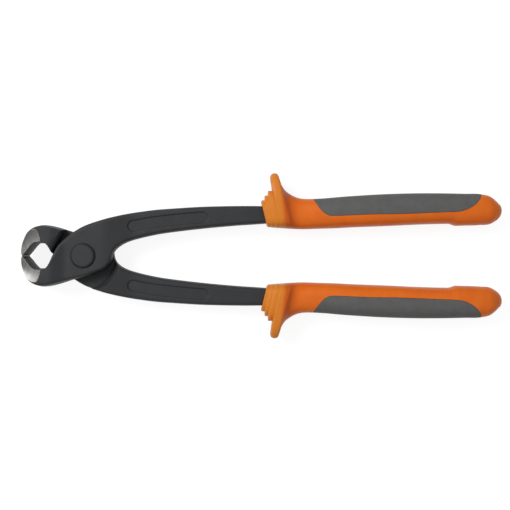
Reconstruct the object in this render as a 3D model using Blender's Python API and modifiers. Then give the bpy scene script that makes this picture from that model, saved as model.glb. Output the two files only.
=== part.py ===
"""Rebar tying pliers, 250 mm long: two drop-forged levers that cross at a riveted lap joint, each with a
two-colour grip.

The tool lies on its side, closed. +X runs from the pivot towards the grips, +Z is the pivot axis, and Z = 0 is
the plane that the tool lies on. The origin is on the pivot axis. Both levers are the same forging: the rear one
is the front one turned half round the long axis of the tool, and so are the grips.
"""

import math

import bmesh
import bpy
from mathutils import Matrix, Vector

# Driving sizes of the forged levers, in metres
JAW_REACH = 0.0320  # pivot axis to the furthest point of a jaw
JAW_HALF_HEIGHT = 0.0161  # long axis of the tool to the back of a jaw
JAW_WIDTH = 0.0200  # along the pivot axis
THROAT_HALF_HEIGHT = 0.0065  # long axis of the tool to the bottom of the throat
EDGE_GAP = 0.0003  # between the closed cutting edges
BOSS_RADIUS = 0.0166  # pivot axis to the throat side of a boss
BOSS_HEIGHT = 0.0078  # lap face to outer face
ARM_LENGTH = 0.0920  # pivot axis to the grip
ARM_RISE = 0.0261  # long axis of the tool to the outside of an arm at the grip
ARM_WIDTH = 0.0096  # in the plane of the tool, at the grip
ARM_THICKNESS = 0.0098  # along the pivot axis
TANG_WIDTH = 0.0076
TANG_THICKNESS = 0.0080
FORGED_ROUND = 0.0016  # radius of the forged edges
GROUND_ROUND = 0.0003  # radius of the ground edges along the throat
FORGING_DRAFT = 0.0004  # how far a forged side leans in from the parting line
JAW_DRAFT = 0.0007  # the same at a jaw, which is deeper
GROUND_START = 0.0214  # pivot axis to the ground face of a jaw
GROUND_BEND = 0.0052  # how much further out that face starts at the back of a jaw
GROUND_LENGTH = 0.0140  # from where a ground face starts to past the cutting edge
GROUND_SLOPE = 0.12  # of a ground face where it starts, as a tangent
GROUND_RADIUS = 0.0700  # of the ground face's dome
WHEEL_AXIS = 0.0456  # pivot axis to the axis of the wheel that grinds the faces

# The lap joint, its rivet and the marking panels
LAP_GAP = 0.0003  # between the two lap faces
LAP_CLEARANCE = 0.0005  # from the boss to the shoulder that clears it
LAP_DRAFT = 0.0006  # how far the shoulder at a jaw leans back over half a jaw width
LAP_ROUND = 0.0030  # radius over the top of that shoulder
LAP_RAMP = 0.0062  # run of the curved ramp up to an arm
LAP_RAMP_HEIGHT = 0.0073  # from the lap face to the end of that ramp
RIVET_SHANK_RADIUS = 0.0040
RIVET_HEAD_RADIUS = 0.0063
RIVET_HEAD_CHAMFER = 0.0010
RIVET_HEAD_PROUD = 0.0012  # head above the outer face of the boss
RIVET_SEAT_DEPTH = 0.0010  # counterbore under the head
RIVET_FIT = 0.0003  # between the rivet and what it passes through or sits in
PANEL_START = 0.0228  # pivot axis to the near end of a panel
PANEL_LENGTH = 0.0418
PANEL_HEIGHT = 0.0058
PANEL_DEPTH = 0.0006

# The grips
GRIP_LENGTH = 0.1260
GRIP_WIDTH = 0.0164  # in the plane of the tool
GRIP_DEPTH = 0.0190  # along the pivot axis
HANDLE_RISE = 0.0246  # long axis of the tool to the axis of a handle, at its furthest
COLLAR_LEAN = 0.24  # slope of the collar's steps, as a tangent
GUARD_REACH = 0.0220  # axis of the handle to the tip of the finger guard
SOCKET_FIT = 0.0003  # between the tang and the grip
PAD_THICKNESS = 0.0022
PAD_GAP = 0.0003  # between the soft pad and the recess that holds it

CUT_OVERRUN = 0.0060  # how far a cutter runs past what it cuts
MERGE_DISTANCE = 0.000002
JAW_HALF = JAW_WIDTH / 2
ARM_HALF = ARM_THICKNESS / 2
TANG_HALF = TANG_THICKNESS / 2
BOSS_TOE_SHARE = 0.905  # reach of a boss towards the crotch, as a share of BOSS_RADIUS
LAP_RADIUS = BOSS_RADIUS + LAP_CLEARANCE
LAP_RAMP_RADIUS = BOSS_RADIUS * BOSS_TOE_SHARE + LAP_CLEARANCE
LAP_RAMP_MIDDLE = math.radians(20)  # direction of the middle of the ramp, from +X
LAP_RAMP_SPREAD = math.radians(25)  # on each side of its middle, where the ramp is at its full lean
LAP_RAMP_FADE = math.radians(35)  # over which the ramp then goes over to the steep shoulder
GUARD_FOOT_SHARE = 1.05  # half depth of a grip at its guard, as a share of half GRIP_DEPTH
MID_HEIGHT = max(JAW_HALF, GRIP_DEPTH / 2 * GUARD_FOOT_SHARE)

# Thickness of a lever: it is level round the rivet, swells to the jaw and thins to the arm. The places are shares
# of BOSS_RADIUS, and the last one is a share of the way from BOSS_RADIUS out to ARM_LENGTH.
LEVEL_SHARE = 0.51
JAW_SWELL_SHARE = 1.05
ARM_THIN_SHARE = 0.158

# A lever is lofted through stations that run from the cutting edge, round the jaw and over the boss to the arm.
# Each spans from a back rail (back of the jaw, underside of the boss, inside of the arm) to a throat rail
# (throat, upper side of the boss, outside of the arm).
# Jaw: back x and throat x are shares of the way from BOSS_RADIUS out to JAW_REACH, back y of JAW_HALF_HEIGHT,
# and throat y of THROAT_HALF_HEIGHT.
JAW_STATION_SHARES = (
    (0.948, 0.000, 0.936, 0.000),
    (0.988, 0.090, 0.888, 0.110),
    (0.996, 0.240, 0.813, 0.270),
    (0.975, 0.398, 0.740, 0.462),
    (0.909, 0.571, 0.650, 0.708),
    (0.803, 0.765, 0.570, 0.900),
    (0.657, 0.895, 0.500, 0.982),
    (0.491, 0.976, 0.425, 1.000),
    (0.318, 1.000, 0.335, 1.000),
    (0.092, 0.981, 0.215, 0.940),
    (-0.164, 0.928, 0.120, 0.754),
    (-0.442, 0.848, 0.039, 0.415),
)
# Boss: back and throat points are shares of BOSS_RADIUS.
BOSS_STATION_SHARES = (
    (-0.349, -0.747, -0.949, 0.030),
    (-0.084, -0.687, -0.813, 0.301),
    (0.229, -0.590, -0.657, 0.488),
    (0.494, -0.494, -0.373, 0.723),
    (0.663, -0.422, -0.060, 0.916),
    (0.795, -0.290, 0.211, 1.030),
    (0.873, -0.120, 0.464, 1.114),
    (0.904, 0.042, 0.663, 1.175),
)
# Arm: inside x and outside x are shares of the way from BOSS_RADIUS out to ARM_LENGTH, then the outside's rise
# is one of ARM_RISE and the width one of ARM_WIDTH.
ARM_STATION_SHARES = (
    (-0.0066, -0.0347, 0.778, 1.810),
    (0.0214, 0.0117, 0.809, 1.690),
    (0.0763, 0.0715, 0.843, 1.550),
    (0.1459, 0.1373, 0.874, 1.460),
    (0.2569, 0.2569, 0.920, 1.385),
    (0.3692, 0.3692, 0.946, 1.310),
    (0.5912, 0.5912, 0.985, 1.210),
    (0.8133, 0.8133, 1.000, 1.090),
    (0.9817, 0.9817, 1.000, 1.000),
)
# Shoulder of the lap: direction from +X in degrees, and its foot as a share of LAP_RADIUS. It comes in close at
# the throat and falls back at the back of the jaw, where the other arm swings in.
LAP_FOOT_SHARES = (
    (0.0, 1.000),
    (150.0, 1.000),
    (182.0, 0.962),
    (188.0, 0.924),
    (198.0, 0.880),
    (214.0, 0.880),
    (221.0, 0.910),
    (228.0, 0.962),
    (234.0, 0.990),
    (250.0, 1.000),
    (360.0, 1.000),
)
# Tang: place along the grip, then how far the section has gone over from the arm's to the tang's, and its taper.
TANG_STATION_SHARES = (
    (0.08, 0.6, 1.00),
    (0.19, 1.0, 1.00),
    (0.45, 1.0, 0.95),
    (0.70, 1.0, 0.90),
    (0.89, 1.0, 0.82),
)
SOCKET_END_SHARE = 0.92  # of the grip's length
# Axis of a handle: place along the grip, and rise as a share of HANDLE_RISE.
HANDLE_AXIS_SHARES = (
    (-0.10, 0.862),
    (0.00, 0.866),
    (0.16, 0.888),
    (0.25, 0.898),
    (0.38, 0.939),
    (0.54, 0.976),
    (0.70, 0.998),
    (0.80, 1.000),
    (0.90, 0.978),
    (1.00, 0.963),
)
# Grip: place along it, reach towards the other handle and away from it as shares of half its width, how far the
# reach away has gone over to GUARD_REACH, half depth as a share of half GRIP_DEPTH, lean of the section as a
# share of COLLAR_LEAN, and how square the section is.
GRIP_STATION_SHARES = (
    (0.0145, 0.770, 0.890, 0.00, 0.80, 1.00, 3.2),
    (0.0344, 0.800, 0.915, 0.00, 0.80, 1.00, 3.2),
    (0.0346, 0.810, 1.180, 0.00, 0.88, 1.00, 3.2),
    (0.0500, 0.825, 1.200, 0.00, 0.88, 1.00, 3.2),
    (0.0502, 0.835, 1.450, 0.00, 0.96, 1.00, 3.2),
    (0.0673, 0.850, 1.480, 0.00, 0.96, 1.00, 3.2),
    (0.0715, 0.855, 1.500, 0.12, 1.02, 1.00, 3.0),
    (0.0743, 0.860, 1.500, 0.60, GUARD_FOOT_SHARE, 1.00, 2.9),
    (0.0795, 0.870, 1.500, 0.885, GUARD_FOOT_SHARE, 1.00, 2.8),
    (0.0880, 0.885, 1.500, 0.965, GUARD_FOOT_SHARE, 1.00, 2.8),
    (0.0970, 0.900, 1.500, 0.975, GUARD_FOOT_SHARE, 1.00, 2.8),
    (0.1050, 0.910, 1.500, 0.945, 1.045, 1.00, 2.8),
    (0.1104, 0.918, 1.500, 0.850, 1.030, 1.00, 2.8),
    (0.1130, 0.922, 1.450, 0.580, 1.005, 1.00, 2.8),
    (0.1160, 0.926, 1.400, 0.320, 0.970, 1.00, 2.8),
    (0.1222, 0.935, 1.300, 0.200, 0.910, 1.00, 2.7),
    (0.1310, 0.945, 1.220, 0.125, 0.850, 1.00, 2.6),
    (0.1413, 0.955, 1.150, 0.070, 0.820, 0.95, 2.6),
    (0.1640, 0.970, 1.040, 0.000, 0.810, 0.75, 2.5),
    (0.1850, 0.972, 0.960, 0.000, 0.820, 0.35, 2.5),
    (0.2060, 0.970, 0.950, 0.000, 0.845, 0.00, 2.5),
    (0.2500, 0.965, 0.960, 0.00, 0.88, 0.00, 2.5),
    (0.3120, 0.990, 0.984, 0.00, 0.93, 0.00, 2.5),
    (0.3800, 1.003, 0.997, 0.00, 0.97, 0.00, 2.5),
    (0.5100, 1.020, 1.020, 0.00, 1.00, 0.00, 2.5),
    (0.6780, 0.984, 1.003, 0.00, 1.00, 0.00, 2.5),
    (0.7650, 0.968, 0.980, 0.00, 0.985, 0.00, 2.5),
    (0.7810, 0.968, 0.976, 0.00, 0.98, 0.00, 2.5),
    (0.8100, 1.085, 0.974, 0.00, 0.97, 0.00, 2.5),
    (0.8250, 1.072, 0.978, 0.00, 0.96, 0.00, 2.5),
    (0.8440, 1.050, 0.984, 0.00, 0.95, 0.00, 2.5),
    (0.9110, 0.965, 1.003, 0.00, 0.90, 0.00, 2.5),
    (0.9530, 0.875, 0.850, 0.00, 0.80, 0.00, 2.4),
    (0.9690, 0.735, 0.677, 0.00, 0.68, 0.00, 2.3),
    (0.9860, 0.530, 0.435, 0.00, 0.48, 0.00, 2.2),
    (0.9950, 0.330, 0.300, 0.00, 0.30, 0.00, 2.1),
    (1.0000, 0.120, 0.100, 0.00, 0.10, 0.00, 2.0),
)
COLLAR_STATIONS = 6  # the first stations, which make the three steps
# Lower edge of the soft pad: place along the grip, and rise from the handle's axis as a share of half its width.
PAD_EDGE_SHARES = (
    (0.212, 1.25),
    (0.216, 0.93),
    (0.229, 0.56),
    (0.247, 0.19),
    (0.269, -0.10),
    (0.293, -0.21),
    (0.352, -0.25),
    (0.452, -0.27),
    (0.579, -0.32),
    (0.737, -0.27),
    (0.806, -0.22),
    (0.840, -0.10),
    (0.868, 0.07),
    (0.888, 0.25),
    (0.905, 0.60),
    (0.914, 0.95),
    (0.920, 1.25),
)
# Where the grip's form starts and ends for the pad, and for the core inside it, as places along the grip
PAD_FORM_SHARES = (0.11, 0.96)
PAD_CORE_SHARES = (0.10, 0.97)

GROUND_POWER = 5  # how sharply the start of a ground face bends back
GROUND_STEPS_ACROSS = 24
GROUND_STEPS_ALONG = 5
RAMP_STEPS = 5
ROUND_OVER_STEPS = 4
OUTLINE_STEPS = 1  # new stations between two of a table
CORNER_STEPS = 2
OVAL_POINTS = 20
PANEL_STEPS = 10
END_STEPS = 8
MOST_DRAFT_SHARE = 0.12  # of a section's span, so that the thin cutting edge keeps a flat
MOST_ROUND_SHARE = 0.9
ROUND_STEPS = 48

METALLIC = 0.85
BLACK_STEEL = (0.045, 0.047, 0.050, 1.0)
ORANGE = (0.80, 0.16, 0.018, 1.0)
GREY = (0.115, 0.115, 0.115, 1.0)


def clear_scene():
    for old in list(bpy.data.objects):
        bpy.data.objects.remove(old)


def new_collection(name):
    made = bpy.data.collections.new(name)
    bpy.context.scene.collection.children.link(made)
    return made


def new_material(name, colour, roughness, metallic):
    made = bpy.data.materials.new(name)
    made.use_nodes = True
    shader = made.node_tree.nodes["Principled BSDF"]
    shader.inputs["Base Color"].default_value = colour
    shader.inputs["Roughness"].default_value = roughness
    shader.inputs["Metallic"].default_value = metallic
    return made


def mix(start, end, share):
    return start + (end - start) * share


def eased(share):
    """A share from 0 to 1 that starts and ends level."""
    share = min(1.0, max(0.0, share))
    return share * share * (3 - 2 * share)


def catmull_rom(before, start, end, after, share):
    """A value between start and end on the smooth curve that also passes through before and after."""
    return 0.5 * (
        2 * start
        + (end - before) * share
        + (2 * before - 5 * start + 4 * end - after) * share**2
        + (3 * start - before - 3 * end + after) * share**3
    )


def refine(rows, steps):
    """The rows, each a tuple of numbers, with steps new rows on a smooth curve between each two."""
    fine = []
    for i in range(len(rows) - 1):
        near = [rows[max(0, i - 1)], rows[i], rows[i + 1], rows[min(len(rows) - 1, i + 2)]]
        for k in range(steps + 1):
            share = k / (steps + 1)
            fine.append(tuple(catmull_rom(*values, share) for values in zip(*near)))
    return [*fine, tuple(rows[-1])]


def read_off(rows, place):
    """The values that a table gives at a place, its first column, on a smooth curve through its rows."""
    last = len(rows) - 1
    i = max(k for k in range(last) if k == 0 or rows[k][0] <= place)
    near = [rows[max(0, i - 1)], rows[i], rows[i + 1], rows[min(last, i + 2)]]
    share = (place - rows[i][0]) / (rows[i + 1][0] - rows[i][0])
    return [catmull_rom(*values, share) for values in list(zip(*near))[1:]]


def link(mesh, name, group, material=None):
    made = bpy.data.objects.new(name, mesh)
    group.objects.link(made)
    if material:
        mesh.materials.clear()
        mesh.materials.append(material)
    return made


def loft(name, loops, group):
    """A closed skin over loops of points, each loop with as many points as the next."""
    form = bmesh.new()
    rings = [[form.verts.new(point) for point in loop] for loop in loops]
    count = len(loops[0])
    for ring, after in zip(rings, rings[1:]):
        for k in range(count):
            form.faces.new((ring[k], ring[(k + 1) % count], after[(k + 1) % count], after[k]))
    form.faces.new(rings[0][::-1])
    form.faces.new(rings[-1])
    bmesh.ops.recalc_face_normals(form, faces=form.faces)
    mesh = bpy.data.meshes.new(name)
    form.to_mesh(mesh)
    form.free()
    return link(mesh, name, group)


def flat_outline(name, points, low, high, group):
    """A slab between the heights low and high, with the outline that the points give."""
    curve = bpy.data.curves.new(name, "CURVE")
    curve.dimensions = "2D"
    curve.fill_mode = "BOTH"
    curve.extrude = (high - low) / 2
    line = curve.splines.new("POLY")
    line.points.add(len(points) - 1)
    for spot, point in zip(line.points, points):
        spot.co = (point[0], point[1], 0, 1)
    line.use_cyclic_u = True
    guide = bpy.data.objects.new(name + "_curve", curve)
    group.objects.link(guide)
    guide.location.z = (low + high) / 2
    made = link(evaluated_mesh(guide), name, group)
    made.matrix_world = guide.matrix_world.copy()
    bpy.data.objects.remove(guide)
    return made


def evaluated_mesh(thing):
    """A welded mesh of the object as its modifiers leave it, without its place."""
    bpy.context.view_layer.update()
    graph = bpy.context.evaluated_depsgraph_get()
    mesh = bpy.data.meshes.new_from_object(thing.evaluated_get(graph))
    form = bmesh.new()
    form.from_mesh(mesh)
    bmesh.ops.remove_doubles(form, verts=form.verts, dist=MERGE_DISTANCE)
    bmesh.ops.recalc_face_normals(form, faces=form.faces)
    form.to_mesh(mesh)
    form.free()
    return mesh


def round_cutter(name, radius_low, radius_high, low, high, group):
    """A cylinder or cone on the pivot axis between the heights low and high."""
    form = bmesh.new()
    bmesh.ops.create_cone(
        form,
        cap_ends=True,
        segments=ROUND_STEPS,
        radius1=radius_low,
        radius2=radius_high,
        depth=high - low,
        matrix=Matrix.Translation((0, 0, (low + high) / 2)),
    )
    mesh = bpy.data.meshes.new(name)
    form.to_mesh(mesh)
    form.free()
    return link(mesh, name, group)


def combine(target, operation, others):
    """Joins the others to the target, cuts them from it, or keeps what it shares with them."""
    for other in others:
        step = target.modifiers.new(other.name, "BOOLEAN")
        step.operation = operation
        step.object = other
    mesh = evaluated_mesh(target)
    target.modifiers.clear()
    target.data = mesh
    return target


def put_away(cutters):
    for cutter in cutters.objects:
        cutter.hide_render = True
        cutter.display_type = "WIRE"


def finish(piece, material):
    piece.data.materials.clear()
    piece.data.materials.append(material)
    piece.data.shade_smooth()
    piece.data.set_sharp_from_angle(angle=math.radians(32))
    return piece


def turned_copy(piece, name, group):
    """The same piece for the other lever, turned half round the long axis of the tool."""
    copy = bpy.data.objects.new(name, piece.data)
    group.objects.link(copy)
    copy.rotation_euler.x = math.pi
    copy.location.z = 2 * MID_HEIGHT
    return copy


def handle_axis(place):
    """Rise of a handle's axis at a place along the grip."""
    return read_off(HANDLE_AXIS_SHARES, place)[0] * HANDLE_RISE


def half_thickness(x):
    """Half the thickness of a lever at a distance along the tool."""
    level = LEVEL_SHARE * BOSS_RADIUS
    if x < 0:
        end, half = JAW_SWELL_SHARE * BOSS_RADIUS, JAW_HALF
    else:
        end, half = mix(BOSS_RADIUS, ARM_LENGTH, ARM_THIN_SHARE), ARM_HALF
    return mix(BOSS_HEIGHT, half, eased((abs(x) - level) / (end - level)))


def lever_stations():
    """Rows of back x, back y, throat x, throat y, half thickness at both, back radius, throat radius and draft."""
    rows = []
    for back_x, back_y, throat_x, throat_y in JAW_STATION_SHARES:
        rows.append(
            (
                -mix(BOSS_RADIUS, JAW_REACH, back_x),
                -back_y * JAW_HALF_HEIGHT - EDGE_GAP / 2,
                -mix(BOSS_RADIUS, JAW_REACH, throat_x),
                -throat_y * THROAT_HALF_HEIGHT - EDGE_GAP / 2,
                FORGED_ROUND,
                GROUND_ROUND,
                JAW_DRAFT,
            )
        )
    for shares in BOSS_STATION_SHARES:
        points = [share * BOSS_RADIUS for share in shares]
        rows.append((*points, FORGED_ROUND, FORGED_ROUND, FORGING_DRAFT))
    for inside_x, outside_x, rise, width in ARM_STATION_SHARES:
        outside_y = rise * ARM_RISE
        rows.append(
            (
                mix(BOSS_RADIUS, ARM_LENGTH, inside_x),
                outside_y - width * ARM_WIDTH,
                mix(BOSS_RADIUS, ARM_LENGTH, outside_x),
                outside_y,
                FORGED_ROUND,
                FORGED_ROUND,
                FORGING_DRAFT,
            )
        )
    rows = [(*row[0:4], half_thickness(row[0]), half_thickness(row[2]), *row[4:]) for row in rows]
    for place, over, taper in TANG_STATION_SHARES:
        x = ARM_LENGTH + place * GRIP_LENGTH
        half_width = mix(ARM_WIDTH, TANG_WIDTH, over) * taper / 2
        axis = handle_axis(place)
        half = mix(ARM_HALF, TANG_HALF, over) * taper
        rails = (x, axis - half_width, x, axis + half_width)
        rows.append((*rails, half, half, FORGED_ROUND, FORGED_ROUND, FORGING_DRAFT))
    return rows


def lever_loop(row, grow=0.0):
    """The section of a lever at a station: a slab with round edges that is widest at the parting line."""
    back = Vector(row[0:2])
    throat = Vector(row[2:4])
    back_half, throat_half, back_round, throat_round, draft = row[4:9]
    along = (throat - back).normalized()
    start = back - along * grow
    span = (throat - back).length + 2 * grow
    lean = min(draft, span * MOST_DRAFT_SHARE)
    most_round = (span / 2 - lean) * MOST_ROUND_SHARE
    corners = (
        (min(back_round, most_round), -1, math.pi),
        (min(throat_round, most_round), 1, math.pi / 2),
    )
    upper = [(0.0, 0.0)]
    for radius, side, first in corners:
        middle = span / 2 + side * (span / 2 - lean - radius)
        for k in range(CORNER_STEPS + 1):
            angle = first - k * math.pi / 2 / CORNER_STEPS
            across = middle + radius * math.cos(angle)
            half = min(mix(back_half, throat_half, across / span), JAW_HALF) + grow
            upper.append((across, half - radius + radius * math.sin(angle)))
    upper.append((span, 0.0))
    points = upper + [(across, -height) for across, height in reversed(upper[1:-1])]
    return [Vector((*(start + along * across), MID_HEIGHT + height)) for across, height in points]


def rounded_over(deep):
    """How much further back the shoulder at a jaw is for its rounded top, at a depth under the lap face."""
    share = min(1.0, max(0.0, 1 - (JAW_HALF - deep) / LAP_ROUND))
    return LAP_ROUND * (1 - math.sqrt(1 - share * share))


def lap_loop(deep, ramp_run):
    """The outline, at a depth under the lap face, of the space that clears the other boss: a steep shoulder at the
    jaw, and a ramp at the arm."""
    loop = []
    for k in range(ROUND_STEPS):
        angle = 2 * math.pi * k / ROUND_STEPS
        off = abs((angle - LAP_RAMP_MIDDLE + math.pi) % (2 * math.pi) - math.pi)
        ramp = eased(1 - (off - LAP_RAMP_SPREAD) / LAP_RAMP_FADE)
        foot = read_off(LAP_FOOT_SHARES, math.degrees(angle))[0] * LAP_RADIUS
        shoulder = foot + deep / JAW_HALF * LAP_DRAFT + rounded_over(deep)
        radius = mix(shoulder, LAP_RAMP_RADIUS + ramp_run, ramp)
        height = MID_HEIGHT + LAP_GAP / 2 - deep
        loop.append(Vector((radius * math.cos(angle), radius * math.sin(angle), height)))
    return loop


def lap_loops():
    """The lap's outlines from past the rear side of the lever up to the lap face."""
    loops = [lap_loop(JAW_HALF + CUT_OVERRUN, LAP_RAMP)]
    for k in range(ROUND_OVER_STEPS):
        loops.append(lap_loop(mix(JAW_HALF, LAP_RAMP_HEIGHT, k / ROUND_OVER_STEPS), LAP_RAMP))
    for k in reversed(range(RAMP_STEPS + 1)):
        share = k / RAMP_STEPS
        loops.append(lap_loop(LAP_RAMP_HEIGHT * eased(share), LAP_RAMP * share))
    return loops


def wheel_loops(side):
    """Sections, across both jaws, of what the wheel grinds off one side of them: 1 for the front, -1 for the rear."""
    loops = []
    axis = Vector((-WHEEL_AXIS, 0))
    reach = JAW_HALF_HEIGHT + CUT_OVERRUN
    high = MID_HEIGHT + side * (JAW_HALF + CUT_OVERRUN)
    for k in range(GROUND_STEPS_ACROSS + 1):
        y = mix(-reach, reach, k / GROUND_STEPS_ACROSS)
        bend = (abs(y) / JAW_HALF_HEIGHT) ** GROUND_POWER
        rim = Vector((-GROUND_START - GROUND_BEND * min(1.0, bend), y))
        out = (rim - axis).normalized()
        loop = []
        for j in range(-1, GROUND_STEPS_ALONG + 1):
            inside = GROUND_LENGTH * j / GROUND_STEPS_ALONG
            depth = GROUND_SLOPE * inside + max(0.0, inside) ** 2 / (2 * GROUND_RADIUS)
            loop.append(Vector((*(rim - out * inside), MID_HEIGHT + side * (JAW_HALF - depth))))
        loop.append(Vector((*loop[-1].xy, high)))
        loop.append(Vector((*loop[0].xy, high)))
        loops.append(loop)
    return loops


def panel_outline():
    """The long round-ended panel that follows the middle of an arm."""
    rows = lever_stations()
    first = len(JAW_STATION_SHARES) + len(BOSS_STATION_SHARES)
    middle = [
        ((row[0] + row[2]) / 2, (row[1] + row[3]) / 2) for row in rows[first : first + len(ARM_STATION_SHARES)]
    ]
    radius = PANEL_HEIGHT / 2
    start, stop = PANEL_START + radius, PANEL_START + PANEL_LENGTH - radius
    places = [mix(start, stop, k / PANEL_STEPS) for k in range(PANEL_STEPS + 1)]
    line = [Vector((x, read_off(middle, x)[0])) for x in places]
    lower, upper = [], []
    for k, point in enumerate(line):
        ahead = (line[min(k + 1, len(line) - 1)] - line[max(k - 1, 0)]).normalized()
        normal = Vector((-ahead.y, ahead.x))
        lower.append(point - normal * radius)
        upper.append(point + normal * radius)

    def end(centre, start_point):
        spoke = start_point - centre
        turned = [Matrix.Rotation(math.pi * k / END_STEPS, 2) @ spoke for k in range(1, END_STEPS)]
        return [centre + arm for arm in turned]

    return lower + end(line[-1], lower[-1]) + upper[::-1] + end(line[0], upper[0])


def build_lever(group, cutters):
    """One forging. Its own half of the lap is the upper one."""
    rows = refine(lever_stations(), OUTLINE_STEPS)
    lever = loft("front_lever", [lever_loop(row) for row in rows], group)
    deep = MID_HEIGHT - JAW_HALF - CUT_OVERRUN
    outer_face = MID_HEIGHT + BOSS_HEIGHT
    arm_top = MID_HEIGHT + ARM_HALF
    arm_bottom = MID_HEIGHT - ARM_HALF
    outline = panel_outline()
    combine(
        lever,
        "DIFFERENCE",
        [
            loft("lap_cutter", lap_loops(), cutters),
            loft("front_wheel_cutter", wheel_loops(1), cutters),
            loft("rear_wheel_cutter", wheel_loops(-1), cutters),
            round_cutter(
                "rivet_hole_cutter",
                RIVET_SHANK_RADIUS + RIVET_FIT,
                RIVET_SHANK_RADIUS + RIVET_FIT,
                deep,
                outer_face + CUT_OVERRUN,
                cutters,
            ),
            round_cutter(
                "rivet_seat_cutter",
                RIVET_HEAD_RADIUS + RIVET_FIT,
                RIVET_HEAD_RADIUS + RIVET_FIT,
                outer_face - RIVET_SEAT_DEPTH,
                outer_face + CUT_OVERRUN,
                cutters,
            ),
            flat_outline("front_panel_cutter", outline, arm_top - PANEL_DEPTH, arm_top + CUT_OVERRUN, cutters),
            flat_outline(
                "rear_panel_cutter", outline, arm_bottom - CUT_OVERRUN, arm_bottom + PANEL_DEPTH, cutters
            ),
        ],
    )
    return lever


def build_rivet(group, material):
    """A turned rivet with a flat chamfered head at each end, as a profile with a Screw modifier."""
    face = BOSS_HEIGHT + RIVET_HEAD_PROUD
    seat = BOSS_HEIGHT - RIVET_SEAT_DEPTH + RIVET_FIT
    upper = [
        (0.0, face),
        (RIVET_HEAD_RADIUS - RIVET_HEAD_CHAMFER, face),
        (RIVET_HEAD_RADIUS, face - RIVET_HEAD_CHAMFER),
        (RIVET_HEAD_RADIUS, seat),
        (RIVET_SHANK_RADIUS, seat),
    ]
    profile = upper + [(radius, -height) for radius, height in reversed(upper)]
    mesh = bpy.data.meshes.new("pivot_rivet")
    mesh.from_pydata(
        [(radius, 0, height) for radius, height in profile],
        [(k, k + 1) for k in range(len(profile) - 1)],
        [],
    )
    rivet = link(mesh, "pivot_rivet", group, material)
    turn = rivet.modifiers.new("turn", "SCREW")
    turn.steps = ROUND_STEPS
    turn.render_steps = ROUND_STEPS
    turn.use_merge_vertices = True
    turn.merge_threshold = MERGE_DISTANCE
    turn.use_smooth_shade = False
    rivet.location.z = MID_HEIGHT
    return rivet


def oval(low, high, half, squareness, points):
    """A squared oval round a centre: its reach down and up across, and half its depth on each side."""
    loop = []
    for k in range(points):
        angle = 2 * math.pi * (k + 0.5) / points
        across, up = math.cos(angle), math.sin(angle)
        reach = high if across > 0 else low
        power = 2 / squareness
        loop.append(
            (
                reach * math.copysign(abs(across) ** power, across),
                half * math.copysign(abs(up) ** power, up),
            )
        )
    return loop


def grip_loops(inset=0.0, start=0.0, end=1.0):
    """Sections of a grip, the collar's steps kept sharp, and drawn in by inset all round."""
    collar = list(GRIP_STATION_SHARES[:COLLAR_STATIONS])
    handle = refine(GRIP_STATION_SHARES[COLLAR_STATIONS:], 1)
    loops = []
    for place, low, high, guard, depth, lean, squareness in collar + handle:
        if not start <= place <= end:
            continue
        x = ARM_LENGTH + place * GRIP_LENGTH
        axis = handle_axis(place)
        half_width = GRIP_WIDTH / 2
        ring = oval(
            low * half_width - inset,
            mix(high * half_width, GUARD_REACH, guard) - inset,
            depth * GRIP_DEPTH / 2 - inset,
            squareness,
            OVAL_POINTS,
        )
        slope = COLLAR_LEAN * lean
        loops.append([Vector((x - slope * across, axis + across, MID_HEIGHT + up)) for across, up in ring])
    return loops


def pad_prism(name, grow, group):
    """A slab through the grip with the pad's outline, its lower edge moved out by grow."""
    line = [
        Vector((ARM_LENGTH + place * GRIP_LENGTH, handle_axis(place) + rise * GRIP_WIDTH / 2))
        for place, rise in refine(PAD_EDGE_SHARES, 1)
    ]
    edge = []
    for k, point in enumerate(line):
        ahead = (line[min(k + 1, len(line) - 1)] - line[max(k - 1, 0)]).normalized()
        edge.append(point + Vector((ahead.y, -ahead.x)) * grow)
    top = max(point.y for point in line) + CUT_OVERRUN
    outline = [*edge, Vector((edge[-1].x, top)), Vector((edge[0].x, top))]
    reach = GRIP_DEPTH / 2 + CUT_OVERRUN
    return flat_outline(name, outline, MID_HEIGHT - reach, MID_HEIGHT + reach, group)


def build_pad(group, cutters):
    """The soft pad: what the grip's outer form holds inside the pad's outline, hollowed to its thickness."""
    pad = loft("front_grip_pad", grip_loops(0.0, *PAD_FORM_SHARES), group)
    combine(pad, "INTERSECT", [pad_prism("pad_outline_cutter", 0.0, cutters)])
    core = loft("pad_core_cutter", grip_loops(PAD_THICKNESS, *PAD_CORE_SHARES), cutters)
    return combine(pad, "DIFFERENCE", [core])


def socket_loops():
    """The tang's socket: the tang's own sections grown by the fit, from before the collar to past the tang."""
    rows = lever_stations()[-len(TANG_STATION_SHARES) - 2 :]
    end = ARM_LENGTH + SOCKET_END_SHARE * GRIP_LENGTH
    last = rows[-1]
    rows.append((end, last[1], end, last[3], *last[4:]))
    return [lever_loop(row, SOCKET_FIT) for row in refine(rows, OUTLINE_STEPS)]


def build_shell(group, cutters):
    """The hard grip: stepped collar, guard and handle, with the tang's socket and the pad's recess."""
    shell = loft("front_grip_shell", grip_loops(), group)
    recess = loft("pad_recess_cutter", grip_loops(-CUT_OVERRUN / 2, *PAD_FORM_SHARES), cutters)
    combine(recess, "INTERSECT", [pad_prism("recess_outline_cutter", PAD_GAP, cutters)])
    core = loft("recess_core_cutter", grip_loops(PAD_THICKNESS + PAD_GAP, *PAD_CORE_SHARES), cutters)
    combine(recess, "DIFFERENCE", [core])
    socket = loft("socket_cutter", socket_loops(), cutters)
    return combine(shell, "DIFFERENCE", [recess, socket])


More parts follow.
